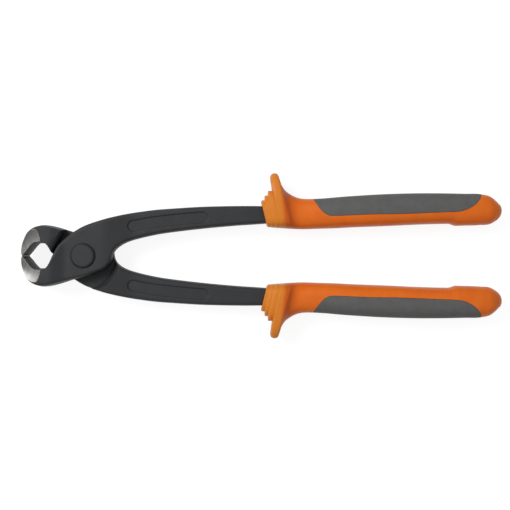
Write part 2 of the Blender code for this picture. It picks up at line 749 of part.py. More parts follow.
def main():
    clear_scene()
    tool = new_collection("rebar_tying_pliers")
    cutters = new_collection("cutters")
    steel = new_material("black_forged_steel", BLACK_STEEL, 0.45, METALLIC)
    rivet_steel = new_material("black_rivet_steel", BLACK_STEEL, 0.38, METALLIC)
    orange = new_material("orange_plastic", ORANGE, 0.42, 0.0)
    grey = new_material("grey_rubber", GREY, 0.7, 0.0)

    lever = finish(build_lever(tool, cutters), steel)
    shell = finish(build_shell(tool, cutters), orange)
    pad = finish(build_pad(tool, cutters), grey)
    turned_copy(lever, "rear_lever", tool)
    turned_copy(shell, "rear_grip_shell", tool)
    turned_copy(pad, "rear_grip_pad", tool)
    build_rivet(tool, rivet_steel)
    put_away(cutters)


main()
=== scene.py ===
# %% [markdown]
# # Rebar tying pliers
# Fixers tie reinforcing bar with this tool: its short jaws grip and twist the wire, and then nip it off. It
# is two drop-forged levers that cross at a riveted lap joint, each with a two-colour grip.
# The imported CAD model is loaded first, as a fixed frame. Every piece below is made finer than its CAD
# solid, in the same place, and rides on the same body, so the pivot still works.

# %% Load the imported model
import math

import bmesh
import bpy
import numpy as np
from mathutils import Matrix, Vector


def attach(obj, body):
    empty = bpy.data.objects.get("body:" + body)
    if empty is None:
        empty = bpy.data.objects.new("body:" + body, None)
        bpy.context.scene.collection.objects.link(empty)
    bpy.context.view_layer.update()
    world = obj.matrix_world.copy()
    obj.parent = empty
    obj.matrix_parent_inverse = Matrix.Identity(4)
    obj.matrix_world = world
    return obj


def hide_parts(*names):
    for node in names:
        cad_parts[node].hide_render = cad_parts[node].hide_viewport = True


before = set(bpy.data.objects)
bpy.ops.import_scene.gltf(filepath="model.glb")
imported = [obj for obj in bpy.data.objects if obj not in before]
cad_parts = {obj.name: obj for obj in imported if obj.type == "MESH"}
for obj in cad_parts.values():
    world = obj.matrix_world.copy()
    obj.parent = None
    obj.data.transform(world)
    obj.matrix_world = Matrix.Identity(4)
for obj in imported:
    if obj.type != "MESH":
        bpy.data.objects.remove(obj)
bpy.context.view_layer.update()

print("CAD nodes:", *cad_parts)

# %% [markdown]
# ## The maker's sizes
# All sizes are in metres and repeat the CAD model's. The tool lies closed on its side: +X runs from the
# pivot to the grips, +Z is the pivot axis, and the plane between the two levers is MIDDLE above the table.
# A forging is easiest to describe by stations, as a boat builder does: each row is one section, given by
# the two rails that it spans. Tables of shares keep the form when a size changes.

# %% Sizes of the forged levers
MM = 0.001
JAW_REACH, JAW_HALF_HEIGHT, JAW_HALF, THROAT_HALF_HEIGHT = 31.98 * MM, 16.1 * MM, 10.0 * MM, 6.5 * MM
EDGE_GAP = 0.04 * MM
BOSS_RADIUS, BOSS_HEIGHT, BOSS_TOE = 16.6 * MM, 7.8 * MM, 0.905
ARM_LENGTH, ARM_RISE, ARM_WIDTH, ARM_HALF = 92.0 * MM, 26.1 * MM, 9.6 * MM, 4.9 * MM
LEVEL_END, JAW_SWELL_END, ARM_THIN_END = 8.5 * MM, 17.4 * MM, 28.5 * MM
TANG_WIDTH, TANG_HALF = 7.6 * MM, 4.0 * MM
FORGED_ROUND, GROUND_ROUND, FORGING_DRAFT, JAW_DRAFT = 1.6 * MM, 0.3 * MM, 0.4 * MM, 0.7 * MM
LAP_GAP, LAP_CLEARANCE, LAP_DRAFT, LAP_ROUND, LAP_RAMP = 0.3 * MM, 0.5 * MM, 0.6 * MM, 3.0 * MM, 4.6 * MM
RIVET_SHANK, RIVET_HEAD, RIVET_CHAMFER, RIVET_PROUD = 4.0 * MM, 6.3 * MM, 1.0 * MM, 1.2 * MM
RIVET_SEAT, RIVET_FIT, HEAD_FIT, SEAT_WEAR = 1.0 * MM, 0.3 * MM, 0.02 * MM, 0.20 * MM
SEAT_OFFSET = (0.17 * MM, -0.11 * MM)  # the peened head fills its seat more at one side
PANEL_START, PANEL_LENGTH, PANEL_HEIGHT, PANEL_DEPTH = 22.8 * MM, 41.8 * MM, 5.8 * MM, 0.6 * MM
GROUND_START, GROUND_BEND, GROUND_LENGTH, GROUND_POWER = 21.4 * MM, 5.2 * MM, 14.0 * MM, 5
GROUND_SLOPE, GROUND_RADIUS, WHEEL_AXIS = 0.12, 70.0 * MM, 45.6 * MM

# Jaw: back x, back y, throat x and throat y
JAW_STATIONS = (
    (0.948, 0.000, 0.936, 0.000),
    (0.988, 0.090, 0.888, 0.110),
    (0.996, 0.240, 0.813, 0.270),
    (0.975, 0.398, 0.740, 0.462),
    (0.909, 0.571, 0.650, 0.708),
    (0.803, 0.765, 0.570, 0.900),
    (0.657, 0.895, 0.500, 0.982),
    (0.491, 0.976, 0.425, 1.000),
    (0.318, 1.000, 0.335, 1.000),
    (0.092, 0.981, 0.215, 0.940),
    (-0.164, 0.928, 0.120, 0.754),
    (-0.442, 0.848, 0.039, 0.415),
)
# Boss: back and throat points
BOSS_STATIONS = (
    (-0.349, -0.747, -0.949, 0.030),
    (-0.084, -0.687, -0.813, 0.301),
    (0.229, -0.590, -0.657, 0.488),
    (0.494, -0.494, -0.373, 0.723),
    (0.663, -0.422, -0.060, 0.916),
    (0.795, -0.290, 0.211, 1.030),
    (0.873, -0.120, 0.464, 1.114),
    (0.904, 0.042, 0.663, 1.175),
)
# Arm: inside x, outside x, rise and width
ARM_STATIONS = (
    (-0.0066, -0.0347, 0.778, 1.810),
    (0.0214, 0.0117, 0.809, 1.690),
    (0.0763, 0.0715, 0.843, 1.550),
    (0.1459, 0.1373, 0.874, 1.460),
    (0.2569, 0.2569, 0.920, 1.385),
    (0.3692, 0.3692, 0.946, 1.310),
    (0.5912, 0.5912, 0.985, 1.210),
    (0.8133, 0.8133, 1.000, 1.090),
    (0.9817, 0.9817, 1.000, 1.000),
)
# Shoulder of the lap: direction from +X in degrees, and how close its foot comes
LAP_FOOT = (
    (0.0, 1.000), (150.0, 1.000), (182.0, 0.962), (188.0, 0.924), (198.0, 0.880), (214.0, 0.880),
    (221.0, 0.910), (228.0, 0.962), (234.0, 0.990), (250.0, 1.000), (360.0, 1.000),
)
# Tang inside the grip: place along the grip, going over from the arm, and taper
TANG_STATIONS = ((0.08, 0.6, 1.00), (0.19, 1.0, 1.00), (0.45, 1.0, 0.95), (0.70, 1.0, 0.90), (0.89, 1.0, 0.82))

# %% Sizes of the grips
GRIP_LENGTH, GRIP_HALF_WIDTH, GRIP_HALF_DEPTH, HANDLE_RISE = 126.0 * MM, 8.2 * MM, 9.5 * MM, 24.6 * MM
GUARD_REACH, GUARD_FOOT, COLLAR_LEAN, GUARD_LEAN = 22.0 * MM, 1.05, 0.24, 0.11
SOCKET_FIT, SOCKET_END = 0.3 * MM, 0.92
PAD_THICKNESS, PAD_GAP = 2.2 * MM, 0.06 * MM
MIDDLE = max(JAW_HALF, GRIP_HALF_DEPTH * GUARD_FOOT)

# Axis of a handle: place along the grip, and rise
HANDLE_AXIS = (
    (-0.10, 0.862), (0.00, 0.866), (0.16, 0.888), (0.25, 0.898), (0.38, 0.939), (0.54, 0.976), (0.70, 0.998),
    (0.80, 1.000), (0.90, 0.978), (1.00, 0.963),
)
# Grip behind the collar: place, reach inwards, reach outwards, share of the guard, depth, lean, squareness
GRIP_STATIONS = (
    (0.0673, 0.850, 1.500, 0.000, 0.96, 1.00, 3.2),
    (0.0700, 0.853, 1.500, 0.080, 1.00, 1.00, 3.1),
    (0.0720, 0.856, 1.500, 0.330, 1.03, 1.00, 3.0),
    (0.0741, 0.860, 1.500, 0.650, GUARD_FOOT, 1.00, 2.9),
    (0.0770, 0.866, 1.500, 0.794, GUARD_FOOT, 1.00, 2.8),
    (0.0805, 0.872, 1.500, 0.866, GUARD_FOOT, 1.00, 2.8),
    (0.0850, 0.880, 1.500, 0.912, GUARD_FOOT, 1.00, 2.8),
    (0.0887, 0.886, 1.500, 0.938, GUARD_FOOT, 1.00, 2.8),
    (0.0968, 0.900, 1.500, 0.955, GUARD_FOOT, 1.00, 2.8),
    (0.1041, 0.909, 1.500, 0.938, 1.045, 1.00, 2.8),
    (0.1085, 0.915, 1.500, 0.895, 1.035, 1.00, 2.8),
    (0.1107, 0.918, 1.500, 0.825, 1.025, 1.00, 2.8),
    (0.1119, 0.920, 1.480, 0.650, 1.015, 1.00, 2.8),
    (0.1135, 0.922, 1.450, 0.400, 1.000, 1.00, 2.8),
    (0.1160, 0.926, 1.400, 0.320, 0.970, 1.00, 2.8),
    (0.1222, 0.935, 1.300, 0.200, 0.910, 1.00, 2.7),
    (0.1310, 0.945, 1.220, 0.125, 0.850, 1.00, 2.6),
    (0.1413, 0.955, 1.150, 0.070, 0.820, 0.95, 2.6),
    (0.1640, 0.970, 1.040, 0.000, 0.810, 0.75, 2.5),
    (0.1850, 0.972, 0.960, 0.000, 0.820, 0.35, 2.5),
    (0.2060, 0.970, 0.950, 0.000, 0.845, 0.00, 2.5),
    (0.2500, 0.965, 0.960, 0.00, 0.88, 0.00, 2.5),
    (0.3120, 0.990, 0.984, 0.00, 0.93, 0.00, 2.5),
    (0.3800, 1.003, 0.997, 0.00, 0.97, 0.00, 2.5),
    (0.5100, 1.020, 1.020, 0.00, 1.00, 0.00, 2.5),
    (0.6780, 0.984, 1.003, 0.00, 1.00, 0.00, 2.5),
    (0.7650, 0.968, 0.980, 0.00, 0.985, 0.00, 2.5),
    (0.7810, 0.968, 0.976, 0.00, 0.98, 0.00, 2.5),
    (0.8100, 1.085, 0.974, 0.00, 0.97, 0.00, 2.5),
    (0.8250, 1.072, 0.978, 0.00, 0.96, 0.00, 2.5),
    (0.8440, 1.050, 0.984, 0.00, 0.95, 0.00, 2.5),
    (0.9110, 0.965, 1.003, 0.00, 0.90, 0.00, 2.5),
    (0.9530, 0.875, 0.850, 0.00, 0.80, 0.00, 2.4),
    (0.9690, 0.735, 0.677, 0.00, 0.68, 0.00, 2.3),
    (0.9860, 0.530, 0.435, 0.00, 0.48, 0.00, 2.2),
    (0.9950, 0.330, 0.300, 0.00, 0.30, 0.00, 2.1),
    (0.9985, 0.180, 0.165, 0.00, 0.16, 0.00, 2.0),
    (1.0000, 0.020, 0.020, 0.00, 0.02, 0.00, 2.0),
)
# Lower edge of the soft pad: place along the grip, and rise from the handle's axis
PAD_EDGE = (
    (0.212, 1.25), (0.216, 0.93), (0.229, 0.56), (0.247, 0.19), (0.269, -0.10), (0.293, -0.21), (0.352, -0.25),
    (0.452, -0.27), (0.579, -0.32), (0.737, -0.27), (0.806, -0.22), (0.836, -0.10), (0.860, 0.09),
    (0.880, 0.32), (0.897, 0.62), (0.909, 0.95), (0.917, 1.25),
)
print("tool length", round((JAW_REACH + ARM_LENGTH + GRIP_LENGTH) / MM, 1), "mm")

# %% [markdown]
# ## Camera
# The photograph looks straight down on the tool from about half a metre. Its scale at the height of the
# pivot's middle is 0.524 mm a pixel, which gives the lens for any distance. A view from the side could show
# more depth, but the real one is square on, so the camera is too.

# %% Place the camera
PIXEL, IMAGE_PIXELS, SENSOR_MM = 0.524 * MM, 510, 36.0
PIVOT_PIXEL = (85.3, 255.8)
CAMERA_DISTANCE, NEAREST_SEEN = 500 * MM, 10 * MM
view_camera = bpy.data.objects.new("view_camera", bpy.data.cameras.new("view_camera"))
bpy.context.scene.collection.objects.link(view_camera)
view_camera.location = (
    (IMAGE_PIXELS / 2 - PIVOT_PIXEL[0]) * PIXEL,
    (PIVOT_PIXEL[1] - IMAGE_PIXELS / 2) * PIXEL,
    MIDDLE + CAMERA_DISTANCE,
)
view_camera.data.sensor_width = SENSOR_MM
view_camera.data.lens = SENSOR_MM * CAMERA_DISTANCE / (IMAGE_PIXELS * PIXEL)
view_camera.data.clip_start = NEAREST_SEEN
bpy.context.scene.camera = view_camera
print("lens", round(view_camera.data.lens, 1), "mm")

# %% [markdown]
# ## Drawing curves through a table
# Two kinds of smooth curve are enough. The first adds new rows between the rows of a table. The second
# reads one place off a table whose rows are unevenly spaced, and keeps its slope steady across each row, so
# that no crease shows in a moulded grip.

# %% Helpers for tables
def mix(start, end, share):
    return start + (end - start) * share


def eased(share):
    """A share from 0 to 1 that starts and ends level."""
    share = min(1.0, max(0.0, share))
    return share * share * (3 - 2 * share)


def more_rows(rows, between):
    """The rows with new ones between each two, on a smooth curve through all of them."""
    fine = []
    for i in range(len(rows) - 1):
        near = [np.array(rows[min(max(k, 0), len(rows) - 1)]) for k in range(i - 1, i + 3)]
        for k in range(between + 1):
            t = k / (between + 1)
            fine.append(
                0.5 * (
                    2 * near[1]
                    + (near[2] - near[0]) * t
                    + (2 * near[0] - 5 * near[1] + 4 * near[2] - near[3]) * t**2
                    + (3 * near[1] - near[0] - 3 * near[2] + near[3]) * t**3
                )
            )
    return [*fine, np.array(rows[-1])]


def read_off(rows, place):
    """The values at a place, a table's first column, on a curve with a steady slope at each row."""
    table = np.array(rows, float)
    steps = np.diff(table[:, 0])[:, None]
    slopes = np.diff(table[:, 1:], axis=0) / steps
    inner = (steps[:-1] * slopes[1:] + steps[1:] * slopes[:-1]) / (steps[:-1] + steps[1:])
    tangents = np.vstack([slopes[:1], inner, slopes[-1:]])
    i = int(np.clip(np.searchsorted(table[:, 0], place, "right") - 1, 0, len(table) - 2))
    t, width = (place - table[i, 0]) / steps[i, 0], steps[i, 0]
    return (
        (2 * t**3 - 3 * t**2 + 1) * table[i, 1:]
        + (t**3 - 2 * t**2 + t) * width * tangents[i]
        + (3 * t**2 - 2 * t**3) * table[i + 1, 1:]
        + (t**3 - t**2) * width * tangents[i + 1]
    )


# %% Helpers for solids
SAME_SPOT = 0.002 * MM  # points nearer than this are one


def new_object(name, data):
    made = bpy.data.objects.new(name, data)
    bpy.context.scene.collection.objects.link(made)
    return made


def skin_over(name, loops):
    """A closed skin over loops of points, each with as many points as the next."""
    form = bmesh.new()
    rings = [[form.verts.new(point) for point in loop] for loop in loops]
    count = len(loops[0])
    for ring, after in zip(rings, rings[1:]):
        for k in range(count):
            form.faces.new((ring[k], ring[(k + 1) % count], after[(k + 1) % count], after[k]))
    form.faces.new(rings[0][::-1])
    form.faces.new(rings[-1])
    bmesh.ops.remove_doubles(form, verts=form.verts, dist=SAME_SPOT)
    bmesh.ops.recalc_face_normals(form, faces=form.faces)
    mesh = bpy.data.meshes.new(name)
    form.to_mesh(mesh)
    form.free()
    return new_object(name, mesh)


def turned_solid(name, profile, steps, centre=(0.0, 0.0)):
    """A solid turned round a line along Z, from (radius, height) points that start and end on that line."""
    angles = [2 * math.pi * k / steps for k in range(steps)]
    loops = [
        [(centre[0] + radius * math.cos(a), centre[1] + radius * math.sin(a), height) for a in angles]
        for radius, height in profile[1:-1]
    ]
    return skin_over(name, loops)


def keep_as_mesh(piece):
    """Makes what the piece's modifiers leave its own plain mesh."""
    bpy.context.view_layer.update()
    mesh = bpy.data.meshes.new_from_object(piece.evaluated_get(bpy.context.evaluated_depsgraph_get()))
    piece.modifiers.clear()
    piece.data = mesh


def cut_away(target, cutters):
    """Takes the cutters from the target, and then removes them. A cut face gets the finish of what cut it."""
    for cutter in cutters:
        if not cutter.data.materials:
            cutter.data.materials.append(target.data.materials[0])
        step = target.modifiers.new(cutter.name, "BOOLEAN")
        step.operation, step.object, step.solver = "DIFFERENCE", cutter, "EXACT"
        step.material_mode = "TRANSFER"
    keep_as_mesh(target)
    for cutter in cutters:
        bpy.data.objects.remove(cutter)


def even_shading(piece, crease_degrees=30):
    """Smooth shading in which the large flats stay flat and the small radii turn."""
    piece.data.shade_smooth()
    piece.data.set_sharp_from_angle(angle=math.radians(crease_degrees))
    step = piece.modifiers.new("even_shading", "WEIGHTED_NORMAL")
    step.keep_sharp = True
    keep_as_mesh(piece)


# %% [markdown]
# ## Finishes
# Four finishes cover the tool. The forging is blasted and then blackened, so it is nearly black, a little
# uneven and finely grained, and the coating is thin along its edges. The jaw's sides are ground bright
# after that. The hard grip is moulded plastic with a fine spark-eroded texture, and the pad is matt rubber.
# Image textures could show all this, but procedural noise on object coordinates has no seams and needs no
# file. A Bevel node tells where an edge is near, which is where the coating wears first, and the lighter
# colour there is partly a painted highlight along the edges.

# %% Helpers for finishes
def feed(tree, sockets, values):
    """Gives each socket its value: a link from another node, or a plain one."""
    for socket, value in zip(sockets, values):
        if isinstance(value, bpy.types.NodeSocket):
            tree.links.new(value, socket)
        else:
            socket.default_value = value


def add_node(tree, kind, settings=(), **inputs):
    """A node with its settings and inputs. An input's name has an underscore for each space."""
    made = tree.nodes.new(kind)
    for name, value in dict(settings).items():
        setattr(made, name, value)
    feed(tree, [made.inputs[name.replace("_", " ")] for name in inputs], inputs.values())
    return made


def math_node(tree, operation, *values):
    made = add_node(tree, "ShaderNodeMath", {"operation": operation})
    feed(tree, made.inputs, values)
    return made.outputs[0]


def vector_node(tree, operation, *values):
    """The two outputs of a vector sum: the vector and the plain value."""
    made = add_node(tree, "ShaderNodeVectorMath", {"operation": operation})
    feed(tree, made.inputs, values)
    return made.outputs


def new_finish(name, roughness, metallic, specular=0.5):
    """A material with its tree, its shader and the place on the piece."""
    made = bpy.data.materials.new(name)
    made.use_nodes = True
    tree = made.node_tree
    shader = tree.nodes["Principled BSDF"]
    shader.inputs["Metallic"].default_value = metallic
    shader.inputs["Roughness"].default_value = roughness
    shader.inputs["Specular IOR Level"].default_value = specular
    place = tree.nodes.new("ShaderNodeTexCoord").outputs["Object"]
    return made, tree, shader, place


def speckle(tree, place, size, detail=4.0, roughness=0.6):
    """Noise whose lumps are about this size."""
    return add_node(
        tree, "ShaderNodeTexNoise", Vector=place, Scale=1 / size, Detail=detail, Roughness=roughness
    ).outputs["Fac"]


def spread(tree, value, low, high, start=0.35, end=0.65):
    """The value's middle range drawn out to between low and high."""
    return add_node(
        tree, "ShaderNodeMapRange", Value=value, From_Min=start, From_Max=end, To_Min=low, To_Max=high
    ).outputs["Result"]


def blend_colours(tree, share, first, second):
    made = add_node(tree, "ShaderNodeMix", {"data_type": "RGBA"})
    feed(tree, [made.inputs[k] for k in (0, 6, 7)], (share, first, second))
    return made.outputs[2]


def near_edge(tree, radius):
    """1 where a convex or concave edge is nearer than the radius, and 0 on the open surface."""
    rounded = add_node(tree, "ShaderNodeBevel", {"samples": 6}, Radius=radius).outputs["Normal"]
    surface = tree.nodes.new("ShaderNodeNewGeometry").outputs["Normal"]
    likeness = vector_node(tree, "DOT_PRODUCT", rounded, surface)["Value"]
    return spread(tree, likeness, 1.0, 0.0, 0.80, 0.99)


def add_grain(tree, shader, noise, smoothest, roughest, depth):
    """Fine noise that changes the roughness between two values and raises the surface this much."""
    tree.links.new(spread(tree, noise, smoothest, roughest), shader.inputs["Roughness"])
    bump = add_node(tree, "ShaderNodeBump", Height=noise, Distance=depth, Strength=1.0)
    tree.links.new(bump.outputs["Normal"], shader.inputs["Normal"])


# %% Blackened forged steel
COAT_METALLIC, COAT_SPECULAR, COAT_UNEVEN = 0.10, 0.35, 0.07
PATCH_SIZE, PATCH_DARKNESS = 5 * MM, 0.88
# Lighter coat near edges: worn coating, and partly a painted highlight along the edges
WEAR_AND_HIGHLIGHT_REACH, WEAR_AND_HIGHLIGHT_SIZE = 0.35 * MM, 1.2 * MM
WORN_COAT_AND_EDGE_HIGHLIGHT = (0.068, 0.068, 0.068, 1.0)


def blackened_steel(name, colour, roughness, grain_size, grain_depth):
    made, tree, shader, place = new_finish(name, roughness, COAT_METALLIC, COAT_SPECULAR)
    dark = tuple(PATCH_DARKNESS * part for part in colour[:3]) + (1.0,)
    coat = blend_colours(tree, spread(tree, speckle(tree, place, PATCH_SIZE), 0.0, 1.0), dark, colour)
    # Lighter edges: worn coating and painted highlight
    rubbed_and_highlit = math_node(
        tree, "MULTIPLY", near_edge(tree, WEAR_AND_HIGHLIGHT_REACH), spread(tree, speckle(tree, place, WEAR_AND_HIGHLIGHT_SIZE), 0.05, 0.7)
    )
    tree.links.new(blend_colours(tree, rubbed_and_highlit, coat, WORN_COAT_AND_EDGE_HIGHLIGHT), shader.inputs["Base Color"])
    fine = speckle(tree, place, grain_size, 3.0)
    add_grain(tree, shader, fine, roughness - COAT_UNEVEN, roughness + COAT_UNEVEN, grain_depth)
    return made


forged_finish = blackened_steel("blackened_forging", (0.030, 0.031, 0.033, 1.0), 0.62, 0.35 * MM, 0.030 * MM)
rivet_finish = blackened_steel("blackened_rivet", (0.027, 0.028, 0.030, 1.0), 0.56, 0.30 * MM, 0.018 * MM)

# %% [markdown]
# The jaw's sides are ground on a cup wheel, which leaves a slightly domed face and fine scratches that bend
# round the wheel's centre. Distance from that centre, drawn out into noise, gives such scratches.

# %% Ground steel
GROUND_DARK, GROUND_LIGHT = (0.130, 0.127, 0.123, 1.0), (0.185, 0.185, 0.181, 1.0)
GROUND_SMOOTHEST, GROUND_ROUGHEST, SCRATCH_DEPTH = 0.28, 0.34, 0.004 * MM
SCRATCH_WIDTH, BAND_WIDTH, SCRATCH_BREAK = 0.16 * MM, 1.6 * MM, 0.03


def ground_steel(name):
    made, tree, shader, place = new_finish(name, (GROUND_SMOOTHEST + GROUND_ROUGHEST) / 2, 1.0)
    from_wheel = vector_node(tree, "SUBTRACT", place, (-WHEEL_AXIS, 0.0, 0.0))["Vector"]
    flat = vector_node(tree, "MULTIPLY", from_wheel, (1.0, 1.0, 0.0))["Vector"]
    distance = vector_node(tree, "LENGTH", flat)["Value"]
    across = add_node(tree, "ShaderNodeSeparateXYZ", Vector=place).outputs["Y"]
    slow = math_node(tree, "MULTIPLY", across, SCRATCH_BREAK)
    drawn_out = add_node(tree, "ShaderNodeCombineXYZ", X=distance, Y=slow).outputs[0]
    scratches = speckle(tree, drawn_out, SCRATCH_WIDTH, 5.0, 0.7)
    bands = speckle(tree, drawn_out, BAND_WIDTH, 2.0)
    tone = math_node(tree, "ADD", spread(tree, scratches, 0.0, 0.55), spread(tree, bands, 0.0, 0.45))
    tree.links.new(blend_colours(tree, tone, GROUND_DARK, GROUND_LIGHT), shader.inputs["Base Color"])
    add_grain(tree, shader, scratches, GROUND_SMOOTHEST, GROUND_ROUGHEST, SCRATCH_DEPTH)
    return made


ground_finish = ground_steel("ground_jaw_steel")


# %% Moulded plastic and rubber
MOULD_SPECULAR, SMOOTHER, ROUGHER = 0.30, 0.05, 0.06
# Painted light and shade by the guard: the first tone is a dark red band behind the guard, painted shade, and
# the second a yellower tone on the collar and guard, painted light.
# Colour, and the stretch past the arm's end over which it fades out
GUARD_PAINTED_LIGHT_AND_SHADE = (
    ((0.56, 0.092, 0.003, 1.0), 17.0 * MM, 22.5 * MM),
    ((0.66, 0.200, 0.016, 1.0), 13.3 * MM, 15.2 * MM),
)


def moulded(name, colour, second, roughness, grain_size, grain_depth, patch_size, painted_light_and_shade=()):
    """A moulded finish in two colours that drift into each other. By the guard, painted light and shade take
    over.
    """
    made, tree, shader, place = new_finish(name, roughness, 0.0, MOULD_SPECULAR)
    tone = blend_colours(tree, spread(tree, speckle(tree, place, patch_size), 0.0, 1.0), colour, second)
    if painted_light_and_shade:
        parts = add_node(tree, "ShaderNodeSeparateXYZ", Vector=place).outputs
        lean = math_node(tree, "MULTIPLY", math_node(tree, "ABSOLUTE", parts["Y"]), GUARD_LEAN)
        along = math_node(tree, "ADD", parts["X"], lean)
        # Painted light and shade: a yellower collar and guard, and a dark band behind the guard
        for painted_tone, start, end in painted_light_and_shade:
            share = spread(tree, along, 1.0, 0.0, ARM_LENGTH + start, ARM_LENGTH + end)
            tone = blend_colours(tree, share, tone, painted_tone)
    tree.links.new(tone, shader.inputs["Base Color"])
    fine = speckle(tree, place, grain_size, 2.0)
    add_grain(tree, shader, fine, roughness - SMOOTHER, roughness + ROUGHER, grain_depth)
    return made


hard_grip_finish = moulded(
    "orange_hard_grip", (0.70, 0.130, 0.004, 1.0), (0.75, 0.152, 0.006, 1.0),
    0.42, 0.25 * MM, 0.010 * MM, 7 * MM, GUARD_PAINTED_LIGHT_AND_SHADE,
)
soft_pad_finish = moulded(
    "grey_soft_pad", (0.096, 0.096, 0.095, 1.0), (0.110, 0.110, 0.108, 1.0),
    0.66, 0.30 * MM, 0.028 * MM, 4 * MM,
)
print("finishes:", forged_finish.name, rivet_finish.name, ground_finish.name, hard_grip_finish.name,
      soft_pad_finish.name)

# %% [markdown]
# ## The forged levers
# Both levers come out of the same die. The rear one is the front one turned half round the long axis of the
# tool, so only one is modelled. Hand sculpting could give the form, but lofting a skin over many sections
# keeps it the size that the tables say, and shows how the jaw runs over the boss into the arm.

# %% Sections of a lever
CORNER_STEPS, FLAT_STEPS, ROWS_BETWEEN = 6, 14, 7
MOST_LEAN, MOST_ROUND = 0.12, 0.9  # draft as a share of a section's span, and edge radius as one of its half


def handle_axis(place):
    return read_off(HANDLE_AXIS, place)[0] * HANDLE_RISE


def half_thickness(x):
    """Half the thickness of a lever: level round the rivet, more at the jaw and less at the arm."""
    end, half = (JAW_SWELL_END, JAW_HALF) if x < 0 else (ARM_THIN_END, ARM_HALF)
    return mix(BOSS_HEIGHT, half, eased((abs(x) - LEVEL_END) / (end - LEVEL_END)))


def lever_rows():
    """Rows of back x and y, throat x and y, what a tang is thinner by, back and throat radius, and draft."""
    forged = (FORGED_ROUND, FORGED_ROUND, FORGING_DRAFT)
    rows = []
    for back_x, back_y, throat_x, throat_y in JAW_STATIONS:
        rows.append((
            -mix(BOSS_RADIUS, JAW_REACH, back_x), -back_y * JAW_HALF_HEIGHT - EDGE_GAP / 2,
            -mix(BOSS_RADIUS, JAW_REACH, throat_x), -throat_y * THROAT_HALF_HEIGHT - EDGE_GAP / 2, 0.0,
            FORGED_ROUND, GROUND_ROUND, JAW_DRAFT,
        ))
    for spots in BOSS_STATIONS:
        rows.append((*(spot * BOSS_RADIUS for spot in spots), 0.0, *forged))
    for inside, outside, rise, width in ARM_STATIONS:
        inside, outside = (mix(BOSS_RADIUS, ARM_LENGTH, share) for share in (inside, outside))
        rows.append((inside, rise * ARM_RISE - width * ARM_WIDTH, outside, rise * ARM_RISE, 0.0, *forged))
    for place, over, taper in TANG_STATIONS:
        x, axis = ARM_LENGTH + place * GRIP_LENGTH, handle_axis(place)
        half_width = mix(ARM_WIDTH, TANG_WIDTH, over) * taper / 2
        thinner = ARM_HALF - mix(ARM_HALF, TANG_HALF, over) * taper
        rows.append((x, axis - half_width, x, axis + half_width, thinner, *forged))
    return rows


def lever_section(row, grow=0.0):
    """A slab with round edges that is widest at its parting line, between the row's two rails."""
    back, throat = Vector(row[0:2]), Vector(row[2:4])
    thinner, back_round, throat_round, draft = row[4:8]
    along = (throat - back).normalized()
    start, span = back - along * grow, (throat - back).length + 2 * grow
    lean = min(draft, span * MOST_LEAN)
    most = (span / 2 - lean) * MOST_ROUND
    back_round, throat_round = min(back_round, most), min(throat_round, most)

    def half_at(across):
        return min(half_thickness(start.x + along.x * across), JAW_HALF) - thinner + grow

    upper = [(0.0, 0.0), (lean / 2, (half_at(0.0) - back_round) / 2)]
    for radius, side, first in ((back_round, -1, math.pi), (throat_round, 1, math.pi / 2)):
        centre = span / 2 + side * (span / 2 - lean - radius)
        arc = []
        for k in range(CORNER_STEPS + 1):
            angle = first - k * math.pi / 2 / CORNER_STEPS
            across = centre + radius * math.cos(angle)
            arc.append((across, half_at(across) - radius + radius * math.sin(angle)))
        if side > 0:
            places = [mix(upper[-1][0], arc[0][0], k / FLAT_STEPS) for k in range(1, FLAT_STEPS)]
            upper += [(across, half_at(across)) for across in places]
        upper += arc
    upper += [(span - lean / 2, (half_at(span) - throat_round) / 2), (span, 0.0)]
    spots = upper + [(across, -height) for across, height in reversed(upper[1:-1])]
    return [Vector((*(start + along * across), MIDDLE + height)) for across, height in spots]


lever_loops = [lever_section(row) for row in more_rows(lever_rows(), ROWS_BETWEEN)]
print("lever sections:", len(lever_loops), "of", len(lever_loops[0]), "points")

# %% [markdown]
# The cuts are made as the factory makes them, after forging. An end mill takes out the lap, which is a
# steep shoulder at the jaw and a ramp up to the arm. A drill and a counterbore take the rivet, and a
# grinding wheel takes the jaw's sides. The two shallow panels come from the die, so their walls lean and
# their edges are soft.

# %% The lap
CUT_OVERRUN = 6 * MM  # how far a cutter reaches past the piece
LAP_FILLET, EDGE_BREAK = 0.4 * MM, 0.25 * MM
RAMP_MIDDLE, RAMP_SPREAD, RAMP_FADE = math.radians(20), math.radians(25), math.radians(35)
BREAK_STEPS, WALL_STEPS, FILLET_STEPS, LAP_STEPS_ROUND = 4, 20, 8, 240


def rounded_over(depth):
    """How much further back the shoulder at a jaw is for its rounded top, at a depth under the lap face."""
    share = min(1.0, max(0.0, 1 - (JAW_HALF - depth) / LAP_ROUND))
    return LAP_ROUND * (1 - math.sqrt(1 - share**2))


def lap_depths():
    """Depths under the lap face, from well below the lever up to the fillet at the face."""
    bottom = MIDDLE + LAP_GAP / 2
    depths = [bottom + CUT_OVERRUN, bottom + EDGE_BREAK]
    depths += [bottom - EDGE_BREAK * k / BREAK_STEPS for k in range(BREAK_STEPS + 1)]
    depths += [mix(bottom - EDGE_BREAK, LAP_FILLET, k / WALL_STEPS) for k in range(1, WALL_STEPS + 1)]
    return depths + [
        LAP_FILLET * (1 - math.sin(math.pi / 2 * k / FILLET_STEPS)) for k in range(1, FILLET_STEPS + 1)
    ]


